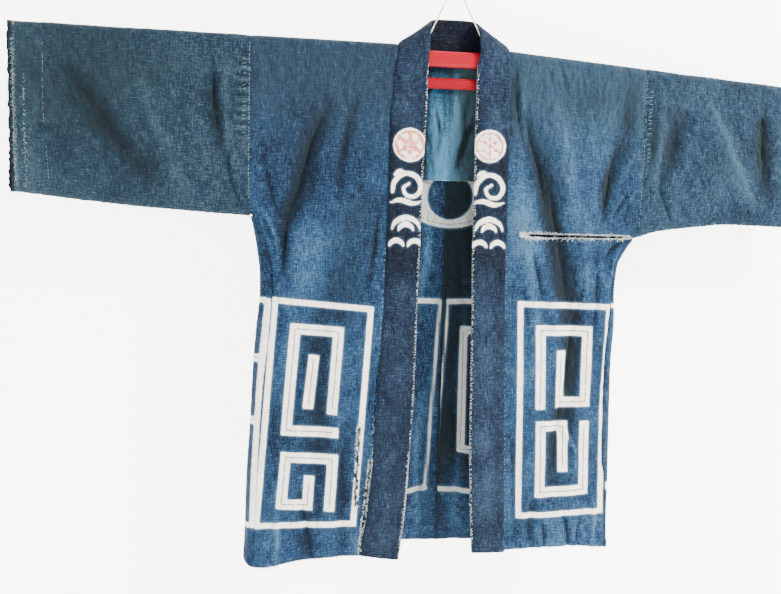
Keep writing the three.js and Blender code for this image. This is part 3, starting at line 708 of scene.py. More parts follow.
def body_marks(side, at, down, back, arc, t):
    """Distance to the marks of front, back and side, and to the dark line along their middles."""
    front_bars = right_front_marks() if side == "right" else left_front_marks()
    front_edge, front_line = bar_field(front_bars, at, down)
    back_edge, back_line = bar_field(back_marks(OUTLINE[side]["sx"]), at, down)
    disc, disc_line = roundel(at, down)
    back_line = np.where(disc < 0, disc_line, back_line)
    back_edge = np.minimum(back_edge, disc)
    turn_edge, turn_line = side_marks(OUTLINE[side]["sx"], np.where(arc, (1 - t) * 38, 99), down)
    back_edge, back_line = np.where(arc, turn_edge, back_edge), np.where(arc, turn_line, back_line)
    return np.where(back, back_edge, front_edge), np.where(back, back_line, front_line)


def body_values(side, at, down, back, x, drop, to_armhole, hem_drop, arc, t, relief):
    """Numbers kept on the cloth: marks, their middle lines, fading, greying, stains, painted shade in folds,
    splits and inside the coat, and wear.
    """
    edge, line = body_marks(side, at, down, back, arc, t)
    fade = 0.35 + 0.12 * (1 - ease(20, 190, down))
    for *place, much in FADED[side]:
        fade += much * blob(at, down, *place)
    if side == "left":
        fade += 0.05 + 0.05 * ease(300, 420, down)
    fade += (0.12 if side == "right" else 0.04) * ease(690, 730, down)
    grey = 0.75 * (1 - ease(60, 210, down)) + 0.1
    # painted shade: the back, seen inside the coat, is painted darker, most on the wearer's left half near the
    # middle and near the top; the side turning round is painted darker as it turns from the light
    inside = fade - 0.10 - 0.26 * ease(-8, 2, at) * (1 - ease(90, 170, at)) - 0.1 * (1 - ease(240, 330, down))
    fade = np.where(back & ~arc, inside, np.where(arc, fade - 0.1, fade))
    stain_and_shade = sum(much * blob(at, down, *place) for *place, much in FRONT_STAINS_AND_SHADE) * ~back
    # painted shade in the fronts' fold valleys
    stain_and_shade += 0.12 * np.clip(-relief - 1.6, 0, 7) * ~back
    # painted shade on the back inside the coat, and a dark line along the centre back seam
    shadowed = ease(-3, 1, at) * (1 - ease(60, 110, at)) * ease(150, 200, down) * (1 - ease(600, 720, down))
    stain_and_shade += back * (1.1 * shadowed + 0.8 * np.exp(-(at / 2.5) ** 2))
    wear = 0.42 * np.exp(-np.abs(to_armhole) / 2.5) + 0.6 * np.exp(-np.abs(hem_drop) / 2.2) * (drop > 600)
    if side == "left":
        lip = np.abs(drop - ARM_DROP)
        on_front = (~back) * ease(104, 114, x) * (1 - ease(292, 300, x))
        wear += on_front * (1.3 * np.exp(-lip / 1.6) + 0.5 * np.exp(-lip / 6))
    split, rubbed = (part * ~back for part in worn_splits(side, at, down))
    # the split's middle is painted dark as the shade in the opening; the last value is painted shading, darker
    # in fold hollows and the split, lighter on crests
    return dict(resist=mix(edge, 6.0, split), midline=line, fade=fade - 0.8 * split, grey=grey,
                stain_and_shade=stain_and_shade + 3 * split, wear=(wear + rubbed) * (1 - split), painted_shading=3 * split - relief)


# Splits where the cloth beside the collar has worn through, as two ends of (x, drop), top one first.
SPLITS = {"right": [((-133.5, 578), (-138.5, 714)), ((-114.5, 632), (-129.5, 782))], "left": []}


def worn_splits(side, at, down):
    """How near a point is to the middle of a split, from 0 to 1, where it is painted dark as the shade in the
    opening, and the pale rub on its edges.
    """
    split, rubbed = np.zeros(at.shape), np.zeros(at.shape)
    wander = 0.9 * np.sin(down / 4.7) + 0.6 * np.sin(down / 1.9)
    for top, end in SPLITS[side]:
        gap = np.abs(from_path([top, end], at + wander, down)[0])
        ends = ease(top[1], top[1] + 12, down) * (1 - ease(end[1] - 10, end[1], down))
        split += (1 - ease(1.0, 2.4, gap)) * ends
        gap = np.abs(from_path([top, end], at, down)[0])
        rubbed += 0.75 * np.exp(-((gap - 3.2) / 1.6) ** 2) * ((down > top[1]) & (down < end[1]))
    return np.clip(split, 0, 1) * (0.65 + 0.35 * np.sin(down / 7.3) ** 2), rubbed


# ---- sleeves -----------------------------------------------------------------------------------
def sleeve_ring():
    """One turn round a sleeve: back fold over, down the back, round the bottom, up the front."""
    drops = np.concatenate([[12, 14, 18, 23], np.linspace(28, 250, 58)])
    over = np.arange(165, 14, -15.0)
    low = np.arange(-15, -166, -15.0)
    kind = np.concatenate([np.ones(len(over)), np.full(len(drops), 2), np.full(len(low), 3),
                           np.zeros(len(drops))])
    angle = np.concatenate([over, np.zeros(len(drops)), low, np.full(len(drops), 180.0)])
    drop = np.concatenate([FOLD_R * (1 - np.sin(np.radians(over))), drops, 250 - 12 * np.sin(np.radians(low)),
                           drops[::-1]])
    return kind, angle, drop


def sleeve(side):
    """A tube from the armhole to the open cuff, row by row."""
    o = OUTLINE[side]
    sx = o["sx"]
    kind, angle, drop = (v[None, :] for v in sleeve_ring())
    cos = np.cos(np.radians(angle))
    cuff = mix(o["cuff_front"], o["cuff_back"], (1 + cos) / 2)
    run = np.concatenate([[0, 0.004, 0.009, 0.016], np.linspace(0.026, 0.972, 88), [0.978, 0.985, 0.993, 1]])
    x = mix(SEAM_X + 0.3, cuff, run[:, None])
    frayed = (cuff - x < 1) * (0.9 * ripple(drop, drop * 0, 9, 17) + 0.7 * ripple(drop, drop * 0, 23, 18))
    x = x + frayed
    height = top_z(o, x) + along(o["sleeve_end"], x)
    reach = np.where(drop <= 40, drop, mix(40.0, height, (drop - 40) / (ARM_DROP - 40)))
    z = top_z(o, x) - reach
    depth = np.where(cos < 0, along(FRONT_EDGE, drop), along(BACK_EDGE, drop))
    low = kind == 3
    depth = np.where(low, 5.6, depth)
    y = np.where(kind == 0, -1, np.where(kind == 2, 1, 0)) * depth
    y = np.where((kind == 1) | low, cos * np.where(low, 5.6, np.where(cos < 0, 8.5, 10)), y)
    mid = np.stack([sx * x, np.broadcast_to(y, x.shape), z], 2)
    out = normals(mid, True) * (-1 if sx < 0 else 1)

    at = sx * x
    down = -z
    front, back = cos < 0, cos > 0
    free = ease(40, 70, drop) * (1 - ease(215, 250, drop)) * ease(305, 335, x)
    relief = np.zeros(x.shape)
    for wall, mask in (("front", front), ("back", back)):
        name = f"{side}_sleeve_{wall}"
        small = folds(CREASES, name, at, down) * (1 - ease(240, 262, drop))
        relief += np.where(mask, folds(MAIN_FOLDS, name, at, down) * free + 1.6 * small, 0)
    crinkle = 1.1 * ripple(at, down, 80, 71 + sx, 1.6) + 0.55 * ripple(at, down, 28, 77 + sx, 1.5)
    relief += (crinkle + 0.3 * ripple(at, down, 16, 79 + sx, 1.2)) * mix(0.35, 1, free)
    relief += seam_dip(x - SEAM_X, down + np.where(back, 500, 0), 21 + sx)
    under = np.abs(np.where(low, 12 * (1 + np.sin(np.radians(angle))), ARM_DROP - drop))
    relief += seam_dip(under + 4, at, 83 + sx, 0.6, 0.5)
    cuff_in = cuff - x
    relief += 0.5 * (1 - ease(9, 13, cuff_in)) - 0.5 * np.exp(-((cuff_in - 11) / 1.4) ** 2)
    if side == "right":
        relief += -0.4 * np.exp(-((cuff_in - 44) / 1.6) ** 2) + 0.35 * np.exp(-((cuff_in - 48) / 1.5) ** 2)
    relief = np.maximum(relief, np.where(drop < 52, -1.2, -40))
    relief = np.where(low | (drop > 236), np.clip(relief, -2.2, 2.2), relief)
    mid = mid + out * relief[..., None]

    around = run_length(np.stack([y[0], z[0]], 1))
    around = np.append(around, around[-1] + math.hypot(y[0, 0] - y[0, -1], z[0, 0] - z[0, -1]))
    uv = np.stack(np.broadcast_arrays(np.append(x, x[:, :1], 1), around[None, :]), 2)
    values = sleeve_values(side, at, down, front, cuff_in, x, drop, relief)
    return shell(f"{side}_sleeve_cloth", mid, uv, CLOTH, values, flip=sx > 0, ring=True)


# Stained places of each sleeve, and painted shadows along its fold valleys, as (x, drop, width, height, how
# much).
SLEEVE_STAINS_AND_SHADE = {
    "right": [(-600, 60, 60, 46, 0.40), (-540, 60, 40, 40, 0.30), (-560, 110, 36, 40, 0.25),
              (-545, 92, 22, 20, 0.5), (-520, 128, 16, 22, 0.6), (-492, 160, 15, 20, 0.55),
              (-466, 192, 18, 20, 0.5), (-440, 60, 60, 26, 0.25), (-350, 150, 16, 60, 0.35),
              (-318, 80, 12, 60, 0.3), (-470, 190, 40, 26, 0.25)],
    "left": [(320, 120, 12, 70, 0.7), (352, 110, 18, 60, 0.5), (505, 130, 14, 70, 0.5),
             (430, 150, 30, 50, 0.2)],
}


def sleeve_values(side, at, down, front, cuff_in, x, drop, relief):
    """Numbers kept on a sleeve's cloth, with painted shade in its fold valleys. The gathers beside the armhole
    are rows of pale rubs on their crests, partly painted highlight, with painted shade in the hollows between.
    """
    wear = 0.40 * np.exp(-np.abs(x - SEAM_X) / 2.5) + 1.1 * np.exp(-np.maximum(cuff_in, 0) / 1.2)
    wear += 0.25 * np.exp(-np.abs(drop) / 4)
    stain_and_shade = sum(much * blob(at, down, *place) for *place, much in SLEEVE_STAINS_AND_SHADE[side])
    # painted shade in the fold valleys
    stain_and_shade += 0.12 * np.clip(-relief - 1.4, 0, 6)
    pitch, end = (14.5, 330) if side == "right" else (8.5, 320)
    gathers = np.sin(2 * math.pi * (down + 1.6 * np.sin(down / 17)) / pitch) * (1 - ease(end - 10, end, x))
    gathers *= ease(28, 40, down) * (1 - ease(138, 156, down))
    dark_end = 0
    if side == "right":
        for inset, wide, much in ((26, 20, 0.11), (26, 14, 0.22 * ease(30, 170, down)), (8, 2.6, 0.38),
                                  (47, 1.8, 0.30)):
            wear = wear + much * np.exp(-((cuff_in - inset) / wide) ** 2)
        fade = 0.64 + 0.24 * ease(585, 612, x) + 0.06 * ripple(at, down, 120, 91)
        grey = 0.25 + 0.5 * ease(330, 520, x) * (1 - 0.5 * ease(90, 220, down))
        dark_end = 2.4 * (1 - ease(3, 5, cuff_in))
        wear = wear * ease(1.5, 5, cuff_in)
    else:
        fade = 0.50 + 0.20 * ease(440, 600, at) + 0.16 * np.exp(-((at - 360) / 60) ** 2)
        fade += 0.08 * ripple(at, down, 120, 92)
        grey = 0.22 + 0.25 * (1 - ease(10, 90, down))
    # the last value is painted shading of the folds and gathers: darker in hollows, lighter on crests
    return dict(resist=FAR, midline=FAR, fade=fade - 0.25 * ~front, grey=grey, stain_and_shade=stain_and_shade + dark_end,
                wear=wear + 0.18 * gathers, painted_shading=-relief - 4.2 * gathers)


# ---- collar band ---------------------------------------------------------------------------------
# The bend round the neck, from the shoulder to the middle of the back: sewn edge and free edge, in mm.
NECK = [((86, -8.6, -14), (38.5, -11, -12)), ((85.8, -6, -5), (37.5, -9, 10)), ((85.3, 0, 2), (36, -2.5, 30)),
        ((81, 8, 2.5), (34, 7, 39)), ((70, 12.6, -1), (31, 14, 43)), ((40, 13.2, -8), (19, 18.5, 45)),
        ((0, 13.4, -12), (0, 20, 45.5))]
# Creases across the band: both ends as (x, drop), and the rise.
COLLAR_CREASES = [
    ((-92, 300), (-62, 372), -1.6), ((-88, 412), (-58, 470), 1.4), ((-112, 520), (-76, 560), -1.5),
    ((-70, 600), (-104, 660), 1.4), ((-120, 700), (-84, 742), -1.4), ((-52, 240), (-86, 262), 1.0),
    ((-96, 60), (-48, 100), -1.2), ((88, 60), (40, 104), -1.2), ((44, 330), (84, 372), 1.4),
    ((82, 420), (48, 452), -1.4), ((46, 520), (88, 556), 1.4), ((92, 610), (52, 650), -1.5),
    ((48, 700), (94, 736), 1.2), ((84, 250), (40, 262), 0.9),
]


def collar_front(side, drop):
    """Sewn edge and free edge of the band down one front. The right end hangs a little lower."""
    o = OUTLINE[side]
    shift = 9 * ease(600, BODY_DROP, drop) * (side == "right")
    depth = body_depth(True, np.full(drop.shape, 100.0), 300.0, drop)
    sewn = np.stack([o["sx"] * along(o["collar_out"], drop), -depth, -drop - shift * 0.1], 1)
    free = np.stack([o["sx"] * along(o["collar_in"], drop), -depth, -drop - shift], 1)
    return sewn, free


def collar_rows():
    """Sewn and free edge of the whole band, right hem to left hem, six numbers a row."""
    halves = []
    for side, grow in (("right", 1), ("left", 1.04)):
        sx = OUTLINE[side]["sx"]
        neck = [(sx * a[0], a[1], a[2], sx * b[0] * grow, b[1], b[2]) for a, b in NECK]
        front = np.hstack(collar_front(side, np.linspace(BODY_DROP, 24, 255)))
        halves.append(np.vstack([front, smooth_path(neck, 8)]))
    rows = np.vstack([halves[0], halves[1][-2::-1]])
    for _ in range(2):                               # ease the turn where the front meets the neck
        middle = (rows[:-2] + 2 * rows[1:-1] + rows[2:]) / 4
        near = (np.abs(rows[1:-1, 2]) < 70)[:, None]
        rows[1:-1] = np.where(near, middle, rows[1:-1])
    return rows


def collar():
    rows = collar_rows()
    sewn, free = rows[:, None, :3], rows[:, None, 3:]
    t = np.linspace(0, 1, 22)[None, :, None]
    mid = mix(sewn, free, t)
    out = normals(mid, False)
    out *= 1 if out[40, 5, 1] < 0 else -1
    at, down = mid[..., 0], -mid[..., 2]
    width = np.linalg.norm(free - sewn, axis=2)
    u = t[..., 0] * width                            # distance from the sewn edge
    bulge = 1.1 * np.sin(math.pi * t[..., 0]) + 0.9 * ripple(at, down, 60, 101, 2.2)
    bulge = bulge + 0.35 * ripple(at, down, 20, 103, 1.6)
    for start, end, rise in COLLAR_CREASES:
        gap, place = from_path([start, end], at, down)
        bulge += rise * np.exp(-(gap / 5) ** 2) * np.sin(math.pi * np.clip(place, 0.02, 0.98))
    front = ease(10, 30, down)
    bulge *= mix(0.4, 1, front)
    bulge += seam_dip(u, down, 107, 0.3, 0.35) + seam_dip(width - u, down + 50 * np.sign(at), 109, 0.2, 0.3)
    lie = 1.6 * ease(40, 90, down)                   # the band lies on the body cloth
    mid = mid + out * (bulge + lie)[..., None]
    edge = np.minimum(t[..., 0], 1 - t[..., 0]) * width
    thick = COLLAR_T * np.sqrt(np.clip(edge / 3.2, 0.12, 1))
    spine = (rows[:, :3] + rows[:, 3:]) / 2
    s = np.concatenate([[0], np.cumsum(np.linalg.norm(np.diff(spine, axis=0), axis=1))])
    uv = np.stack(np.broadcast_arrays(u, s[:, None]), 2)
    white, red = collar_marks(at, down)
    # painted shade where the band goes round behind the neck, inside the coat: it is painted darker and less
    # grey there
    behind = ease(2, 9, mid[..., 1])
    fade = 0.36 + 0.10 * ripple(at, down, 70, 111) + 0.12 * (at > 0)
    fade += 0.12 * np.exp(-np.abs(t[..., 0] - 0.5) * 6) - 1.3 * behind
    fade -= 0.42 * ease(118, 138, down) * (1 - ease(322, 372, down))
    wear = 0.52 * np.exp(-(width - u) / 3.0) * mix(front, 0.9, behind) + 0.34 * np.exp(-u / 2.5)
    wear += 0.22 * np.exp(-np.abs(BODY_DROP - down) / 3)
    wear += 0.2 * blob(at, down, -58, 690, 14, 60) + 0.2 * blob(at, down, 62, 640, 14, 60)
    # the last value is painted shading of the band: darker in its hollows, lighter on its bulges
    values = dict(resist=white, midline=np.maximum(red, 0) + 0.2, fade=fade, grey=0.25 - 0.6 * behind, stain_and_shade=0,
                  wear=wear, painted_shading=-bulge)
    return shell("collar_band", mid, uv, thick, values, flip=normals(mid, False)[40, 5, 1] > 0)


# ---- yoke lining behind the neck ------------------------------------------------------------------
# Soft hanging folds of the lining, as (x, half width, depth), its sharp creases, as (x, lean), and its
# folds with painted shade, as (path of (x, drop), width, how much).
LINING_FOLDS = ((-148, 20, 1.6), (-96, 26, 1.7), (-58, 18, 1.2), (-22, 20, 1.5), (18, 16, 1.3), (52, 20, 1.7),
                (92, 22, 1.2), (136, 26, 1.6))
LINING_CREASES = ((-26, 0.10), (-12, -0.05), (14, 0.02), (30, -0.22), (8, 0.16))
LINING_SHADES = (([(-30, 66), (-22, 100), (-16, 132), (-21, 170)], 2.6, 1.0),
                 ([(-12, 60), (-9, 110), (-14, 150)], 1.6, 0.6),
                 ([(42, 92), (27, 128), (15, 164), (10, 200)], 4.2, 1.2),
                 ([(30, 60), (22, 100), (26, 150)], 3.0, 0.7),
                 ([(-40, 120), (-30, 150), (-26, 198)], 2.6, 0.7))
LINING_HEM = 201
LINING_AIR = 0.75        # air between the lining and the back


def yoke():
    x, drop = np.meshgrid(np.linspace(-174, 174, 88), np.concatenate([[15.5], np.linspace(19, LINING_HEM, 47)]))
    hang = np.zeros(x.shape)
    for cx, half, deep in LINING_FOLDS:
        lean = cx * (1 + 0.05 * (drop / 200)) + 3 * np.sin(drop / 60 + cx)
        hang += deep * np.exp(-((x - lean) / half) ** 2)
    sharp = sum(1.2 * np.exp(-np.abs(x - cx - (drop - 100) * lean) / 3.4) for cx, lean in LINING_CREASES)
    hang = np.clip(hang * ease(15, 60, drop) + 0.35 * ripple(x, drop, 30, 121, 2.5), -0.3, 2.2)
    hang += sharp * ease(60, 90, drop)
    hang += 3.0 * ease(70, 150, drop) * (0.6 + 0.4 * np.sin(x / 27 + 1.0)) * (1 - ease(150, 174, np.abs(x)))
    hang += np.where(np.abs(x) > 168, -0.3, 0)
    depth = body_depth(False, np.abs(x), SEAM_X, drop) - (CLOTH + LINING_T) / 2 - LINING_AIR
    mid = np.stack([x, depth - np.maximum(hang, -0.2), -drop], 2)
    # painted shade: a dark fold line at x -40, shade under the top edge, and the listed shaded folds
    shade = 0.9 * np.exp(-((x + 40) / 6) ** 2) + 0.8 * np.exp(-((drop - 14) / 10) ** 2)
    for path, wide, much in LINING_SHADES:
        gap, place = from_path(path, x, drop)
        shade += much * np.exp(-(gap / wide) ** 2) * np.sin(math.pi * np.clip(place, 0.03, 0.97))
    fade = 0.06 + 0.20 * (x < -2) + 0.40 * np.exp(-((x + 22) / 7) ** 2) * ease(60, 100, drop)
    fade += 0.7 * np.exp(-((x - 8) / 5) ** 2) * (1 - ease(130, 170, drop)) + 0.08 * ripple(x, drop, 60, 131)
    # stains here are mostly painted shade: the folds' shade and shade over the lower right, with a dark line at
    # the middle
    stain_and_shade = 0.35 * np.exp(-np.abs(x + 1) / 2) + 1.5 * shade + 0.5 * ease(4, 30, x) * ease(100, 170, drop)
    # the fading is lowered by the painted shade, and the last value is painted shading: darker where the lining
    # lies near the back, lighter where it hangs out
    values = dict(resist=FAR, midline=FAR, fade=fade - 0.5 * shade, stain_and_shade=stain_and_shade,
                  grey=ease(-4, 4, x) * (0.45 + 0.55 * ease(12, 18, x)),
                  wear=0.5 * np.exp(-(LINING_HEM - drop) / 2), painted_shading=3.6 - 3.6 * hang)
    return shell("yoke_cloth", mid, np.stack([x, drop], 2), LINING_T, values,
                 flip=normals(mid, False)[20, 20, 1] > 0)


# ---- finishes ----------------------------------------------------------------------------------
class Nodes:
    """Short way to lay out nodes: values go into sockets, other nodes' outputs are linked."""

    def __init__(self, tree):
        self.tree = tree

    def add(self, kind, values=None, **settings):
        node = self.tree.nodes.new("ShaderNode" + kind)
        for key, value in settings.items():
            setattr(node, key, value)
        for key, value in (values or {}).items():
            if isinstance(value, bpy.types.NodeSocket):
                self.tree.links.new(value, node.inputs[key])
            else:
                node.inputs[key].default_value = value
        return node

    def math(self, operation, a, b=0.0, clamp=False):
        return self.add("Math", {0: a, 1: b}, operation=operation, use_clamp=clamp).outputs[0]

    def plus(self, a, b):
        return self.math("ADD", a, b)

    def minus(self, a, b):
        return self.math("SUBTRACT", a, b)

    def times(self, a, b, clamp=False):
        return self.math("MULTIPLY", a, b, clamp)

    def step(self, value, low, high):
        """0 at low, 1 at high, and eased between them."""
        ends = {"Value": value, "From Min": low, "From Max": high, "To Min": 0.0, "To Max": 1.0}
        return self.add("MapRange", ends, interpolation_type="SMOOTHSTEP").outputs[0]

    def blend(self, factor, a, b):
        return self.add("Mix", {0: factor, 6: a, 7: b}, data_type="RGBA").outputs[2]

    def noise(self, vector, scale, detail=3.0, rough=0.55, stretch=(1, 1, 1)):
        moved = self.add("Mapping", {"Vector": vector, "Scale": [scale * s for s in stretch]}).outputs[0]
        look = {"Vector": moved, "Scale": 1.0, "Detail": detail, "Roughness": rough}
        return self.add("TexNoise", look).outputs[0]

    def link(self, value, socket):
        self.tree.links.new(value, socket)


def rgb(r, g, b):
    return (r, g, b, 1.0)


def group(name, inputs, outputs):
    """An empty node group with its named inputs and outputs."""
    tree = bpy.data.node_groups.new(name, "ShaderNodeTree")
    for label, kind, value in inputs:
        socket = tree.interface.new_socket(label, in_out="INPUT", socket_type="NodeSocket" + kind)
        if value is not None:
            socket.default_value = value
    for label, kind in outputs:
        tree.interface.new_socket(label, in_out="OUTPUT", socket_type="NodeSocket" + kind)
    return tree, tree.nodes.new("NodeGroupInput").outputs, tree.nodes.new("NodeGroupOutput").inputs


def weave_group():
    """Hand-woven cotton: threads both ways, thick slubs, and where the dye has rubbed off them."""
    tree, get, put = group("weave", [("Cloth", "Vector", None), ("Pitch", "Float", 1.15)],
                           [("Height", "Float"), ("Rubbed", "Float"), ("Streak", "Float")])
    n = Nodes(tree)
    spread = n.add("SeparateXYZ", {0: get["Cloth"]})
    wander = n.times(n.noise(get["Cloth"], 90, 2), 0.0016)
    turn = n.math("DIVIDE", 6283.0, get["Pitch"])
    waves = [n.math("SINE", n.times(n.plus(spread.outputs[k], wander), turn)) for k in (0, 1)]
    over = n.times(waves[0], waves[1])
    warp = n.noise(get["Cloth"], 1.0, 4, 0.7, (560, 75, 1))
    weft = n.noise(get["Cloth"], 1.0, 4, 0.7, (75, 520, 1))
    slub = n.plus(n.step(warp, 0.52, 0.80), n.step(weft, 0.52, 0.80))
    grain = n.noise(get["Cloth"], 620, 3, 0.7)
    height = n.plus(n.times(over, 0.35), n.times(slub, 0.6))
    n.link(n.plus(height, n.times(grain, 0.5)), put["Height"])
    n.link(n.plus(n.times(slub, 0.7), n.times(grain, 0.5)), put["Rubbed"])
    n.link(n.plus(n.times(warp, 0.5), n.times(weft, 0.5)), put["Streak"])
    return tree


WEAVE = weave_group()


def dye_group():
    """Indigo over the weave: fading, greenish greying, stains and painted shade, painted shading of folds,
    resist-dyed marks and worn edges.
    """
    tree, get, put = group(
        "indigo_dye",
        [("Cloth", "Vector", None), ("Rubbed", "Float", 0), ("Streak", "Float", 0.5), ("Fade", "Float", 0.5),
         ("Grey", "Float", 0), ("Stain_and_shade", "Float", 0), ("Wear", "Float", 0), ("Resist", "Float", FAR),
         ("Midline", "Float", FAR), ("Painted_shading", "Float", 0), ("Reverse", "Float", 0), ("Deep", "Color", None),
         ("Blue", "Color", None), ("Pale", "Color", None), ("Slate", "Color", None), ("Mark", "Color", None),
         ("Line", "Color", None),
         ("Line half", "Float", 0.75), ("Mottle", "Float", 0.16), ("Speckle", "Float", 0.5)],
        [("Color", "Color"), ("Roughness", "Float"), ("Raised", "Float"), ("Crumple", "Float")])
    n = Nodes(tree)
    cloth = get["Cloth"]
    broad, middle, fine = n.noise(cloth, 11, 4, 0.6), n.noise(cloth, 55, 4, 0.62), n.noise(cloth, 420, 3, 0.65)
    # how far the dye has faded, from deep through blue to pale; painted shading darkens it in hollows and
    # lightens it on crests
    uneven = n.plus(n.minus(broad, 0.5), n.times(n.minus(middle, 0.5), 0.7))
    fade_with_shading = n.plus(get["Fade"], n.times(uneven, n.times(get["Mottle"], 5.0)))
    fade_with_shading = n.plus(fade_with_shading, n.times(n.minus(get["Streak"], 0.5), 3.4))
    fade_with_shading = n.plus(fade_with_shading, n.times(n.minus(fine, 0.5), 1.5))
    # painted shading: darker in hollows, lighter on crests
    fade_with_shading = n.minus(fade_with_shading, n.times(get["Painted_shading"], 0.10))
    dyed = n.blend(n.step(fade_with_shading, 0.0, 0.52), get["Deep"], get["Blue"])
    dyed = n.blend(n.step(fade_with_shading, 0.48, 1.05), dyed, get["Pale"])
    greyed = n.times(n.plus(get["Grey"], n.times(uneven, 0.5)), 0.9, clamp=True)
    dyed = n.blend(greyed, dyed, get["Slate"])
    rubbed = n.times(n.step(get["Rubbed"], 0.30, 0.95), n.times(get["Speckle"], 0.8))
    dyed = n.blend(rubbed, dyed, rgb(0.075, 0.125, 0.165))
    # stains, and painted shade in fold valleys, splits and inside the coat, darken the dye
    stain_and_shade_share = n.times(get["Stain_and_shade"], n.step(n.plus(broad, n.times(middle, 0.5)), 0.38, 0.88), clamp=True)
    dyed = n.blend(stain_and_shade_share, dyed, rgb(0.0046, 0.0098, 0.0130))
    # the undyed marks, yellowed in places, with their thin line, darker and greyer on the cloth's wrong side,
    # partly as its duller print and partly as painted shade inside the coat
    ragged = n.times(n.minus(fine, 0.5), 2.6)
    inside = n.step(n.plus(get["Resist"], ragged), 0.7, -0.7)
    marked = n.blend(n.times(n.step(middle, 0.40, 0.85), 0.32), get["Mark"], rgb(0.70, 0.52, 0.36))
    marked = n.blend(n.times(n.step(get["Rubbed"], 0.3, 0.9), 0.16), marked, rgb(0.40, 0.43, 0.46))
    thin = n.plus(n.math("ABSOLUTE", get["Midline"]), n.times(n.minus(fine, 0.5), 1.2))
    lined = n.step(thin, n.plus(get["Line half"], 0.4), n.minus(get["Line half"], 0.2))
    lined = n.times(lined, n.step(middle, 0.30, 0.46))
    marked = n.blend(n.times(lined, 0.8), marked, get["Line"])
    marked = n.blend(n.times(get["Reverse"], 0.72), marked, rgb(0.16, 0.20, 0.215))
    color = n.blend(inside, dyed, marked)
    # dye thins out round a mark, and is rubbed off along worn edges
    halo = n.times(n.step(n.plus(get["Resist"], n.times(ragged, 1.5)), 4.5, 0.5), n.minus(1.0, inside))
    color = n.blend(n.times(halo, 0.32), color, get["Pale"])
    worn = n.step(n.plus(n.times(get["Wear"], 0.9), n.times(fine, 0.9)), 0.78, 1.25)
    color = n.blend(n.times(worn, 0.85), color, rgb(0.60, 0.62, 0.60))
    ridges = [n.math("ABSOLUTE", n.minus(n.noise(cloth, size, 2, 0.5, (1, 0.6, 1)), 0.5)) for size in (26, 60)]
    n.link(n.plus(ridges[0], n.times(ridges[1], 0.6)), put["Crumple"])
    n.link(color, put["Color"])
    n.link(n.plus(0.80, n.times(inside, 0.1)), put["Roughness"])
    n.link(n.plus(n.times(worn, 0.5), n.times(middle, 0.4)), put["Raised"])
    return tree


DYE = dye_group()


def new_material(name):
    material = bpy.data.materials.new(name)
    material.use_nodes = True
    material.node_tree.nodes.clear()
    return material, Nodes(material.node_tree)


def cloth_finish(name, deep, blue, pale, slate, mark=rgb(0.97, 0.92, 0.83), line=rgb(0.02, 0.025, 0.035),
                 line_half=0.75, mottle=0.16, speckle=0.5, pitch=1.15, bump=0.55):
    """Indigo cloth. `pitch` is the weave's, in mm, and `line_half` half the width of a mark's line."""
    material, n = new_material(name)
    cloth = n.add("UVMap", uv_map="cloth").outputs[0]
    weave = n.add("Group", node_tree=WEAVE)
    n.link(cloth, weave.inputs["Cloth"])
    weave.inputs["Pitch"].default_value = pitch
    dye = n.add("Group", node_tree=DYE)
    n.link(cloth, dye.inputs["Cloth"])
    n.link(weave.outputs["Rubbed"], dye.inputs["Rubbed"])
    n.link(weave.outputs["Streak"], dye.inputs["Streak"])
    for key in ("fade", "grey", "stain_and_shade", "wear", "resist", "midline", "painted_shading", "reverse"):
        value = n.add("Attribute", attribute_name=key, attribute_type="GEOMETRY")
        n.link(value.outputs["Fac"], dye.inputs[key.capitalize()])
    for key, value in (("Deep", deep), ("Blue", blue), ("Pale", pale), ("Slate", slate), ("Mark", mark),
                       ("Line", line), ("Line half", line_half), ("Mottle", mottle), ("Speckle", speckle)):
        dye.inputs[key].default_value = value
    bumps = ((bump, 0.0006, weave.outputs["Height"]), (0.6, 0.0012, dye.outputs["Raised"]),
             (0.8, 0.016, dye.outputs["Crumple"]))
    normal = None
    for strength, distance, height in bumps:
        relief = n.add("Bump", {"Strength": strength, "Distance": distance, "Height": height})
        if normal is not None:
            n.link(normal, relief.inputs["Normal"])
        normal = relief.outputs[0]
    surface = n.add("BsdfPrincipled", {
        "Base Color": dye.outputs["Color"], "Roughness": dye.outputs["Roughness"], "Normal": normal,
        "Sheen Weight": 0.03, "Sheen Roughness": 0.5, "Specular IOR Level": 0.10})
    n.link(surface.outputs[0], n.add("OutputMaterial").inputs[0])
    return material


def plain_finish(name, color, roughness, coat=0.0, ribs=0.0, fuzz=0.0):
    """Plastic or thread, a little uneven. `ribs` is the pitch of ribs, in metres, and `fuzz` loose fibre."""
    material, n = new_material(name)
    where = n.add("TexCoord").outputs["Object"]
    uneven = n.add("TexNoise", {"Vector": where, "Scale": 60.0, "Detail": 3.0}).outputs[0]
    darker = rgb(*(0.7 * part for part in color[:3]))
    shade = n.blend(n.times(n.step(uneven, 0.35, 0.75), 0.25), color, darker)
    surface = n.add("BsdfPrincipled", {"Base Color": shade, "Roughness": roughness, "Coat Weight": coat,
                                       "Coat Roughness": 0.2, "Specular IOR Level": 0.15})
    if ribs:
        height = n.add("SeparateXYZ", {0: where}).outputs[2]
        wave = n.math("ABSOLUTE", n.math("SINE", n.times(height, math.pi / ribs)))
        bump = n.add("Bump", {"Strength": 0.9, "Distance": 0.0012, "Height": wave})
        n.link(bump.outputs[0], surface.inputs["Normal"])
    if fuzz:
        bump = n.add("Bump", {"Strength": fuzz, "Distance": 0.0004, "Height": n.noise(where, 1400, 2)})
        n.link(bump.outputs[0], surface.inputs["Normal"])
    n.link(surface.outputs[0], n.add("OutputMaterial").inputs[0])
    return material


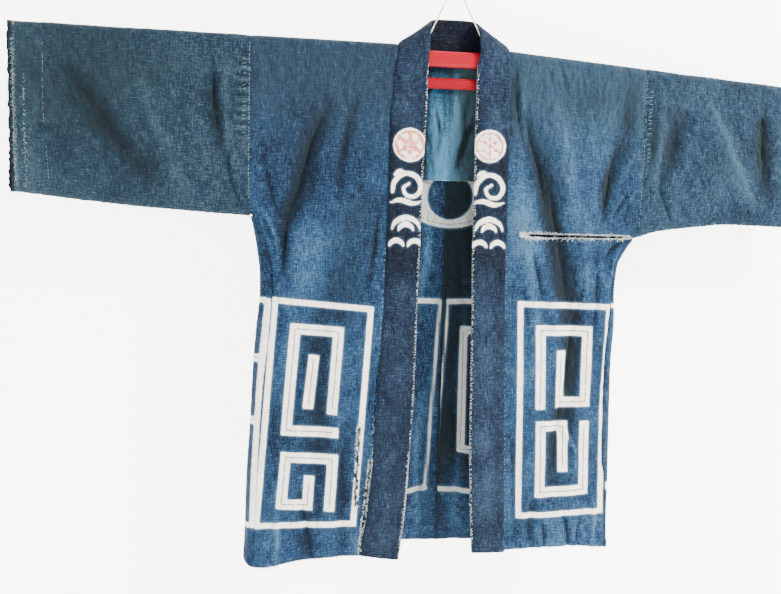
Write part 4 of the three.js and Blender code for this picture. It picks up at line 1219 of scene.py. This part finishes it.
FRONT_INDIGO = dict(deep=rgb(0.0026, 0.0070, 0.0190), blue=rgb(0.0120, 0.0410, 0.0930),
                    pale=rgb(0.054, 0.122, 0.205))
finish = {
    "indigo_right": cloth_finish("faded_indigo_right", slate=rgb(0.0094, 0.0180, 0.0280), **FRONT_INDIGO),
    "indigo_left": cloth_finish("faded_indigo_left", slate=rgb(0.0140, 0.0310, 0.0450), **FRONT_INDIGO),
    "sleeve_right": cloth_finish(
        "slate_indigo_sleeve", deep=rgb(0.0014, 0.0036, 0.0080), blue=rgb(0.0056, 0.0165, 0.0330),
        pale=rgb(0.036, 0.070, 0.096), slate=rgb(0.0068, 0.0175, 0.0250), mottle=0.13, speckle=0.65),
    "sleeve_left": cloth_finish(
        "blue_indigo_sleeve", deep=rgb(0.0012, 0.0034, 0.0088), blue=rgb(0.0055, 0.0195, 0.0430),
        pale=rgb(0.033, 0.072, 0.112), slate=rgb(0.0085, 0.0220, 0.0330), mottle=0.13, speckle=0.65),
    "collar_navy": cloth_finish(
        "dark_navy_collar", deep=rgb(0.0012, 0.0028, 0.0080), blue=rgb(0.0056, 0.0140, 0.0340),
        pale=rgb(0.030, 0.058, 0.100), slate=rgb(0.0066, 0.0130, 0.0240), mark=rgb(0.97, 0.92, 0.82),
        line=rgb(0.56, 0.045, 0.018), line_half=0.45, mottle=0.12, bump=0.7),
    "lining_blue": cloth_finish(
        "pale_blue_lining", deep=rgb(0.0040, 0.0160, 0.0280), blue=rgb(0.0120, 0.0560, 0.1050),
        pale=rgb(0.042, 0.130, 0.205), slate=rgb(0.026, 0.050, 0.058), mottle=0.10, speckle=0.25, pitch=0.8),
    "hanger_red": plain_finish("glossy_red_plastic", rgb(0.30, 0.0002, 0.0110), 0.34, coat=0.06),
    "hanger_ribbed": plain_finish("ribbed_red_plastic", rgb(0.27, 0.0002, 0.0090), 0.38, coat=0.04,
                                  ribs=0.0026),
    "cord_cream": plain_finish("cream_twine", rgb(0.68, 0.62, 0.50), 0.9, fuzz=0.6),
    "thread_white": plain_finish("white_cotton_thread", rgb(0.58, 0.60, 0.58), 0.9, fuzz=0.5),
    "thread_pale": plain_finish("washed_out_thread", rgb(0.20, 0.27, 0.31), 0.9, fuzz=0.5),
    "thread_dark": plain_finish("dark_indigo_thread", rgb(0.020, 0.030, 0.055), 0.9, fuzz=0.5),
    "thread_blue": plain_finish("pale_indigo_thread", rgb(0.035, 0.075, 0.115), 0.9, fuzz=0.5),
}


# ---- putting pieces into the frame --------------------------------------------------------------
def settle(piece, slot_name, material, *nodes):
    """Gives a piece its finish and puts it on the frame, in place of the CAD nodes that it stands for."""
    piece.data.materials.clear()
    piece.data.materials.append(finish[material])
    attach(piece, "root")
    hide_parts(*nodes)


# ---- camera ------------------------------------------------------------------------------------
def place_camera():
    """Level with the coat's upper half, off to the wearer's right, turned left and a little down."""
    place = Vector((-0.225, -1.2344, -0.348))
    yaw, pitch, roll = (math.radians(a) for a in (6.364, -5.755, 1.464))
    ahead = Vector((math.sin(yaw) * math.cos(pitch), math.cos(yaw) * math.cos(pitch), math.sin(pitch)))
    right = Vector((math.cos(yaw), -math.sin(yaw), 0))
    up = right.cross(ahead)
    across = right * math.cos(roll) + up * math.sin(roll)
    above = up * math.cos(roll) - right * math.sin(roll)
    data = bpy.data.cameras.new("camera")
    data.lens, data.sensor_width = 36.876, 36
    camera = bpy.data.objects.new("camera", data)
    rows = [(across[k], above[k], -ahead[k], place[k]) for k in range(3)]
    camera.matrix_world = Matrix(rows + [(0, 0, 0, 1)])
    bpy.context.scene.collection.objects.link(camera)
    bpy.context.scene.camera = camera


place_camera()


# ---- cord and hanger -----------------------------------------------------------------------------
CORD_D = 2.2             # thickness of the twine
CORD_BEND = 6.0          # radius of its bend over the hook
BAR_UNDER = 18.0         # middle of the upper bar under the shoulder line
CORD_FEET = ((-48.0, -94.8), (53.0, -94.8))          # (x, z) where it leaves the bar


def cord_leg(foot, centre, turn):
    """Where the straight leg from a foot meets the bend, and the leg's length."""
    dx, dz = centre[0] - foot[0], centre[1] - foot[1]
    length = math.sqrt(dx * dx + dz * dz - CORD_BEND**2)
    a = math.atan2(dz, dx) - turn * math.asin(CORD_BEND / math.hypot(dx, dz))
    return (foot[0] + length * math.cos(a), foot[1] + length * math.sin(a)), int(length)


def cord_route():
    """Up from one foot, over the hook and down to the other, in mm, a point for each mm of the legs."""
    centre = (0.0, CORD_D / 2 - CORD_BEND)
    (start, end), pts = CORD_FEET, []
    (up, up_steps), (off, off_steps) = cord_leg(start, centre, -1), cord_leg(end, centre, 1)
    for s in np.arange(up_steps) / up_steps:
        pts.append((mix(start[0], up[0], s), 0, mix(start[1], up[1], s)))
    first, last = (math.atan2(z - centre[1], x - centre[0]) % (2 * math.pi) for x, z in (up, off))
    for a in np.linspace(first, last, 18):
        pts.append((centre[0] + CORD_BEND * math.cos(a), 0, centre[1] + CORD_BEND * math.sin(a)))
    for s in (np.arange(off_steps) + 1) / off_steps:
        pts.append((mix(off[0], end[0], s), 0, mix(off[1], end[1], s)))
    return np.array(pts)


def tube_mesh(name, runs, sides, shape=None, taper=False):
    """Tubes along runs of points in mm. Each run is (points, radius); `shape` swells it round and along."""
    points, faces, count = [], [], 0
    turn = np.arange(sides) * 2 * math.pi / sides
    for run, radius in runs:
        run = np.asarray(run, float)
        ahead = np.gradient(run, axis=0)
        ahead /= np.maximum(np.linalg.norm(ahead, axis=1, keepdims=True), 1e-9)
        guide = np.where(np.abs(ahead[:, 1:2]) < 0.9, [[0.0, 1, 0]], [[1.0, 0, 0]])
        a = np.cross(ahead, guide)
        a /= np.linalg.norm(a, axis=1, keepdims=True)
        b = np.cross(ahead, a)
        r = np.full((len(run), sides), float(radius))
        if taper:
            r[[0, -1]] *= 0.35
        if shape:
            r *= shape(np.arange(len(run))[:, None], turn)
        ring = run[:, None] + a[:, None] * (np.cos(turn) * r)[..., None]
        ring = ring + b[:, None] * (np.sin(turn) * r)[..., None]
        points.append(ring.reshape(-1, 3))
        i, j = (v.ravel() for v in np.meshgrid(np.arange(len(run) - 1), np.arange(sides), indexing="ij"))
        k = (j + 1) % sides
        faces += (np.stack([i * sides + j, (i + 1) * sides + j, (i + 1) * sides + k, i * sides + k], 1)
                  + count).tolist()
        faces.append((np.arange(sides) + count).tolist())
        faces.append((np.arange(sides)[::-1] + count + (len(run) - 1) * sides).tolist())
        count += len(run) * sides
    mesh = bpy.data.meshes.new(name)
    mesh.from_pydata((np.vstack(points) * MM).tolist(), [], faces)
    piece = bpy.data.objects.new(name, mesh)
    bpy.context.scene.collection.objects.link(piece)
    smooth(piece, 70)
    return piece


def hanging_cord():
    route = cord_route()
    strands = lambda step, turn: 0.80 + 0.20 * np.abs(np.cos(1.5 * (turn - step * 0.42)))
    cord = tube_mesh("hanger_twine", [(route, CORD_D / 2)], 18, strands)
    settle(cord, "cord_cream", "cord_cream", "hanger_cord")


def edit(piece):
    """Opens a piece in edit mode, with all of it selected."""
    bpy.ops.object.select_all(action="DESELECT")
    piece.select_set(True)
    bpy.context.view_layer.objects.active = piece
    bpy.ops.object.mode_set(mode="EDIT")
    bpy.ops.mesh.select_all(action="SELECT")


def leave():
    bpy.ops.object.mode_set(mode="OBJECT")
    bpy.ops.object.select_all(action="DESELECT")


def oval_bar(name, stations, depth, height, round_end):
    """Oval plastic bar drawn out along its stations (x, z) in mm, with softly rounded ends."""
    bpy.ops.mesh.primitive_circle_add(vertices=40, radius=0.5, fill_type="NGON", location=(0, 0, 0),
                                      rotation=(0, math.pi / 2, 0))
    bar = bpy.context.active_object
    bar.name = name
    bpy.ops.object.transform_apply(location=False, rotation=True, scale=False)
    edit(bar)
    tip = 0.55                                       # the bar's size at its very end
    swell = [(0.35, 0.85), (1.3, 1.0)]
    (x0, z0), (xe, ze) = stations[0], stations[-1]
    bpy.ops.transform.resize(value=(1, depth * MM * tip, height * MM * tip), center_override=(0, 0, 0))
    bpy.ops.transform.translate(value=(x0 * MM, 0, z0 * MM))
    way = [(x0 + round_end * t, z0, size) for t, size in swell] + [(x, z, 1.0) for x, z in stations[1:-1]]
    way += [(xe - round_end * t, ze, size) for t, size in reversed(swell)] + [(xe, ze, tip)]
    at, before = (x0, z0), tip
    for x, z, size in way:
        bpy.ops.mesh.extrude_region_move(
            TRANSFORM_OT_translate={"value": ((x - at[0]) * MM, 0, (z - at[1]) * MM)})
        bpy.ops.transform.resize(value=(1, size / before, size / before), center_override=(x * MM, 0, z * MM))
        at, before = (x, z), size
    bpy.ops.mesh.select_all(action="SELECT")
    bpy.ops.mesh.normals_make_consistent(inside=False)
    leave()
    smooth(bar, 40)
    return bar


def hanger():
    left, right = OUTLINE["left"], OUTLINE["right"]
    bar_z = lambda x: float(top_z(right if x < 0 else left, x)) - BAR_UNDER + SHOULDER_Z
    low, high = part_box("hanger_bar")
    xs = [low[0] / MM, -300, 0, 60, 300, high[0] / MM]
    upper = oval_bar("hanger_upper_bar", [(x, bar_z(x)) for x in xs], depth=11, height=24, round_end=4)
    settle(upper, "hanger_red", "hanger_red", "hanger_bar")
    low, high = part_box("hanger_lower_bar")
    z = (low[2] + high[2]) / 2 / MM
    ends = [(low[0] / MM, z), (high[0] / MM, z)]
    lower = oval_bar("hanger_lower_rail", ends, depth=8, height=16, round_end=3)
    settle(lower, "hanger_red", "hanger_ribbed", "hanger_lower_bar")
    for name in ("hanger_link_right", "hanger_link_left"):
        low, high = (Vector(v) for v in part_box(name))
        bpy.ops.mesh.primitive_cube_add(size=1, location=(0, 0, 0))
        link = bpy.context.active_object
        link.name = name + "_strut"
        edit(link)
        bpy.ops.transform.resize(value=tuple(high - low), center_override=(0, 0, 0))
        bpy.ops.transform.translate(value=tuple((high + low) / 2))
        bpy.ops.mesh.select_all(action="SELECT")
        bpy.ops.mesh.bevel(offset=0.0008, segments=2)
        leave()
        smooth(link, 40)
        settle(link, "hanger_red", "hanger_red", name)
    # the twine's two turns round the bar, and a knot, at each foot
    turns = []
    a, knot = np.linspace(0, 2 * math.pi, 40), np.linspace(0, 4 * math.pi, 60)
    for fx, _ in CORD_FEET:
        centre = bar_z(fx)
        for dx in (-1.3, 1.3):
            turns.append(np.stack([fx + dx + 0.4 * np.sin(a), 6.4 * np.sin(a), centre + 12.9 * np.cos(a)], 1))
        turns.append(np.stack([fx + 2.1 * np.cos(knot), -6.6 + 0.8 * np.sin(knot * 1.5),
                               centre + 6 + 2.1 * np.sin(knot)], 1))
    wraps = tube_mesh("twine_wraps", [(turn, 0.9) for turn in turns], 10)
    settle(wraps, "cord_cream", "cord_cream", "hanger_cord")


hanging_cord()
hanger()


def hang(piece, slot_name, node, flat, on):
    """Puts a cloth on the frame in place of its CAD node. `flat`, its cut, width and length in metres, is not
    used.
    """
    settle(piece, slot_name, slot_name, node)


right_body = body_strip("right")
left_body = body_strip("left")
right_sleeve = sleeve("right")
left_sleeve = sleeve("left")
band = collar()
lining = yoke()
hang(right_body, "indigo_right", "right_body", (0.34, 1.60), ["hanger_upper_bar"])
hang(left_body, "indigo_left", "left_body", (0.34, 1.60), ["hanger_upper_bar"])
hang(right_sleeve, "sleeve_right", "right_sleeve", (0.355, 0.545), ["hanger_upper_bar"])
hang(left_sleeve, "sleeve_left", "left_sleeve", (0.355, 0.565), ["hanger_upper_bar"])
hang(band, "collar_navy", "collar", (0.062, 1.80), ["right_body_cloth", "left_body_cloth"])
hang(lining, "lining_blue", "yoke_lining", (0.36, 0.20), ["right_body_cloth", "left_body_cloth"])


# ---- threads: stitching, darns and frayed edges ---------------------------------------------------
def point_at(way, reach, s):
    return np.interp(s, reach, way[:, 0]), np.interp(s, reach, way[:, 1])


# A stitch from end to end, as (place along it, rise over the cloth in thread widths).
STITCH = ((-0.5, -0.7), (-0.3, 0.35), (0, 0.55), (0.3, 0.35), (0.5, -0.7))


def stitches(cloth, path, pitch, length, turn, radius, seed, skip=0.1, scatter=0.6):
    """Short raised stitches along a path of (x, drop), each turned `turn` degrees from the path."""
    rng = np.random.default_rng(seed)
    way = smooth_path(path, 12)
    reach, runs = run_length(way), []
    for s in np.arange(pitch, reach[-1] - pitch, pitch):
        if rng.random() < skip:
            continue
        s += rng.normal(0, pitch * 0.12)
        (x, drop), (next_x, next_drop) = point_at(way, reach, s), point_at(way, reach, s + 2)
        ahead = math.atan2(next_drop - drop, next_x - x)
        a = ahead + math.radians(turn + rng.normal(0, 9))
        x, drop = x + rng.normal(0, scatter * 0.3), drop + rng.normal(0, scatter * 0.3)
        size = length * rng.uniform(0.75, 1.15)
        p, n = on_cloth(cloth, x, drop)
        along_it = np.array([math.cos(a), 0, -math.sin(a)])
        along_it -= n * along_it.dot(n)
        points = [p + along_it * size * q + n * radius * rise * 1.4 for q, rise in STITCH]
        runs.append((points, radius))
    return runs


def frays(cloth, path, count, length, radius, seed, aim=90, spread=50, lift=0.5):
    """Loose thread ends that start on a path and wander off it, lying on the cloth."""
    rng = np.random.default_rng(seed)
    way = smooth_path(path, 12)
    reach, runs = run_length(way), []
    for _ in range(count):
        s = rng.uniform(0, reach[-1])
        x, drop = point_at(way, reach, s)
        a = math.radians(aim + rng.normal(0, spread))
        size = length * rng.uniform(0.4, 1.4)
        bend = rng.normal(0, 0.5)
        points = []
        for k in range(6):
            p, n = on_cloth(cloth, x, drop)
            points.append(p + n * (lift * math.sin(math.pi * (k + 1) / 7) + 0.15))
            x += math.cos(a) * size / 5
            drop += math.sin(a) * size / 5
            a += bend * 0.5 + rng.normal(0, 0.22)
        runs.append((points, radius * rng.uniform(0.7, 1.2)))
    return runs


def threads(name, runs, slot_name, material, node):
    placed = [(np.asarray(points) + [0, 0, SHOULDER_Z], radius) for points, radius in runs]
    settle(tube_mesh(name, placed, 5, taper=True), slot_name, material, node)


def collar_line(side, edge, off, top, low, count):
    """A line down one front, `off` mm outside the collar's free edge ("collar_in") or sewn edge."""
    o = OUTLINE[side]
    return [(o["sx"] * (float(along(o[edge], d)) + off), d) for d in np.linspace(top, low, count)]


def collar_edge(side, off):
    return collar_line(side, "collar_in", off, 34, 775, 26)


def collar_seam(side, off, top, low):
    return collar_line(side, "collar_out", off, top, low, 20)


def armhole(side, off, top=8, low=248):
    o = OUTLINE[side]
    base = float(-top_z(o, SEAM_X))
    return [(o["sx"] * (SEAM_X + off), base + d) for d in np.linspace(top, low, 12)]


def hem_line(side, above, start, end):
    o = OUTLINE[side]
    return [(o["sx"] * x, float(along(o["hem"], x)) - above) for x in np.linspace(start, end, 14)]


def sew():
    for k, side in enumerate(("right", "left")):
        body, arm, slot_name = f"{side}_body_cloth", f"{side}_sleeve_cloth", f"indigo_{side}"
        whip = stitches("collar_band", collar_edge(side, 1.4), 4.4, 3.4, 50, 0.36, 200 + k, 0.30, 0.8)
        whip += stitches("collar_band", collar_edge(side, 2.6), 7, 3.0, 12, 0.28, 202 + k, 0.40)
        whip += frays("collar_band", collar_edge(side, 1.6), 60, 3.5, 0.2, 204 + k, 90, 50)
        threads(f"collar_whip_{side}", whip, "collar_navy", "thread_white", "collar")
        outer = stitches(body, collar_seam(side, 1.6, 300, 770), 8, 3.4, 0, 0.34, 206 + k, 0.45)
        if side == "right":
            outer += frays(body, collar_seam(side, 2.0, 560, 770), 90, 5, 0.26, 208, 90, 60)
        threads(f"collar_seam_thread_{side}", outer, slot_name, "thread_pale", f"{side}_body")
        seam = stitches(arm, armhole(side, 1.6), 4.6, 3.4, 2, 0.30, 210 + k, 0.15, 0.2)
        seam += stitches(arm, armhole(side, 9, 30, 150), 6.2, 6.5, 84, 0.26, 212 + k, 0.2, 0.5)
        threads(f"armhole_thread_{side}", seam, f"sleeve_{side}", "thread_pale", f"{side}_sleeve")
        near = stitches(body, armhole(side, -4.0), 8.0, 3.4, 84, 0.24, 216 + k, 0.25)
        threads(f"armhole_puckers_{side}", near, slot_name, "thread_blue", f"{side}_body")
        start, end = (112, 290) if side == "right" else (98, 268)
        hem = stitches(body, hem_line(side, 13.5, start, end), 9, 4.2, 0, 0.34, 218 + k, 0.2)
        threads(f"hem_stitches_{side}", hem, slot_name, "thread_blue", f"{side}_body")
        edge = frays(body, hem_line(side, 1.0, start, end), 70, 5, 0.24, 220 + k, 90, 60)
        threads(f"hem_fray_{side}", edge, slot_name, "thread_pale", f"{side}_body")
    # the mended tear under the wearer's left arm
    tear = -OUTLINE["left"]["arm"]
    upper, lower = ([(x, tear + way * (float(tear_gap(x)) / 2 + 0.8)) for x in np.linspace(110, 294, 20)]
                    for way in (-1, 1))
    mend = stitches("left_body_cloth", upper, 3.0, 3.6, 76, 0.42, 230, 0.30)
    mend += stitches("left_body_cloth", lower, 3.0, 3.6, 76, 0.42, 231, 0.30)
    mend += frays("left_body_cloth", upper, 70, 4, 0.22, 232, 90, 70)
    mend += frays("left_body_cloth", lower, 90, 5, 0.22, 233, 90, 70)
    mend += stitches("left_body_cloth", [(109, tear - 4), (114, tear + 4)], 1.1, 7, 90, 0.45, 234, 0)
    mend += frays("left_body_cloth", [(108, tear - 3), (124, tear + 2)], 40, 6, 0.28, 235, 0, 180)
    threads("tear_threads", mend, "indigo_left", "thread_white", "left_body")
    dark = frays("left_body_cloth", upper, 50, 7, 0.3, 236, 90, 40, 1.2)
    threads("tear_threads_dark", dark, "indigo_left", "thread_dark", "left_body")
    # the worn splits beside the right collar seam
    worn = []
    for top, end in SPLITS["right"]:
        for off in (-2.2, 2.4):
            edge = [(top[0] + off, top[1]), (end[0] + off, end[1])]
            worn += frays("right_body_cloth", edge, 60, 5, 0.24, 240 + int(top[1] + off), 90, 25)
        worn += frays("right_body_cloth", [top, end], 26, 4, 0.24, 340 + int(top[1]), 0, 20, 1.0)
    threads("worn_split_threads", worn, "indigo_right", "thread_white", "right_body")
    # the right cuff's frayed end, rubbed band and darning
    cuff_end = OUTLINE["right"]["cuff_front"]
    cuff = [(6 - cuff_end, d) for d in np.linspace(16, 226, 12)]
    fringe = frays("right_sleeve_cloth", cuff, 110, 4.5, 0.22, 250, 90, 40)
    fringe += stitches("right_sleeve_cloth", cuff, 4.2, 3.2, 20, 0.28, 251, 0.3)
    rubbed = [(20 - cuff_end, d) for d in np.linspace(60, 226, 10)]
    fringe += frays("right_sleeve_cloth", rubbed, 90, 4.0, 0.2, 252, 60, 60)
    fringe += stitches("right_sleeve_cloth", [(-600, 14), (-599, 120), (-594, 226)], 5, 3.4, 3, 0.22, 253, 0.35)
    threads("cuff_fray_right", fringe, "sleeve_right", "thread_pale", "right_sleeve")


sew()


# ---- room and light ------------------------------------------------------------------------------
def plane(name, corners, material):
    mesh = bpy.data.meshes.new(name)
    mesh.from_pydata(corners, [], [(0, 1, 2, 3)])
    mesh.materials.append(material)
    piece = bpy.data.objects.new(name, mesh)
    bpy.context.scene.collection.objects.link(piece)
    return piece


def wall_finish(name, glow):
    """Pale plaster with a glow of its own, clear from behind."""
    material, n = new_material(name)
    surface = n.add("BsdfPrincipled", {"Base Color": rgb(0.90, 0.885, 0.86), "Roughness": 0.9,
                                       "Emission Color": rgb(1.0, 0.99, 0.97), "Emission Strength": glow})
    facing = n.add("NewGeometry").outputs["Backfacing"]
    both = n.add("MixShader", {0: facing, 1: surface.outputs[0], 2: n.add("BsdfTransparent").outputs[0]})
    n.link(both.outputs[0], n.add("OutputMaterial").inputs[0])
    return material


def light(name, place, aim, size, power, color):
    data = bpy.data.lights.new(name, "AREA")
    data.shape, data.size, data.energy, data.color = "DISK", size, power, color
    lamp = bpy.data.objects.new(name, data)
    lamp.location = place
    lamp.rotation_euler = (Vector(aim) - Vector(place)).to_track_quat("-Z", "Y").to_euler()
    bpy.context.scene.collection.objects.link(lamp)


WALL_Y = 0.10            # just behind the coat
FLOOR_Z = -1.5


def room():
    corners = [(-5, WALL_Y, FLOOR_Z), (5, WALL_Y, FLOOR_Z), (5, WALL_Y, 2.5), (-5, WALL_Y, 2.5)]
    wall = plane("pale_wall_behind", corners, wall_finish("pale_wall", 5.0))
    wall.visible_shadow = False
    corners = [(-5, -5, FLOOR_Z), (5, -5, FLOOR_Z), (5, 5, FLOOR_Z), (-5, 5, FLOOR_Z)]
    plane("pale_floor", corners, wall_finish("pale_ground", 0.3))
    world = bpy.data.worlds.new("soft_room")
    world.use_nodes = True
    air = world.node_tree.nodes["Background"]
    air.inputs[0].default_value = rgb(0.93, 0.96, 1.0)
    air.inputs[1].default_value = 1.15
    bpy.context.scene.world = world
    light("window_key", (2.3, -1.6, 1.3), (-0.05, 0, -0.45), 0.6, 330, (1.0, 0.97, 0.93))
    light("fill", (-2.0, -2.2, -0.1), (-0.1, 0, -0.45), 2.2, 30, (0.93, 0.96, 1.0))
    light("back_fill", (0.3, 2.2, 0.9), (0, 0, -0.4), 2.0, 60, (1.0, 1.0, 1.0))


room()
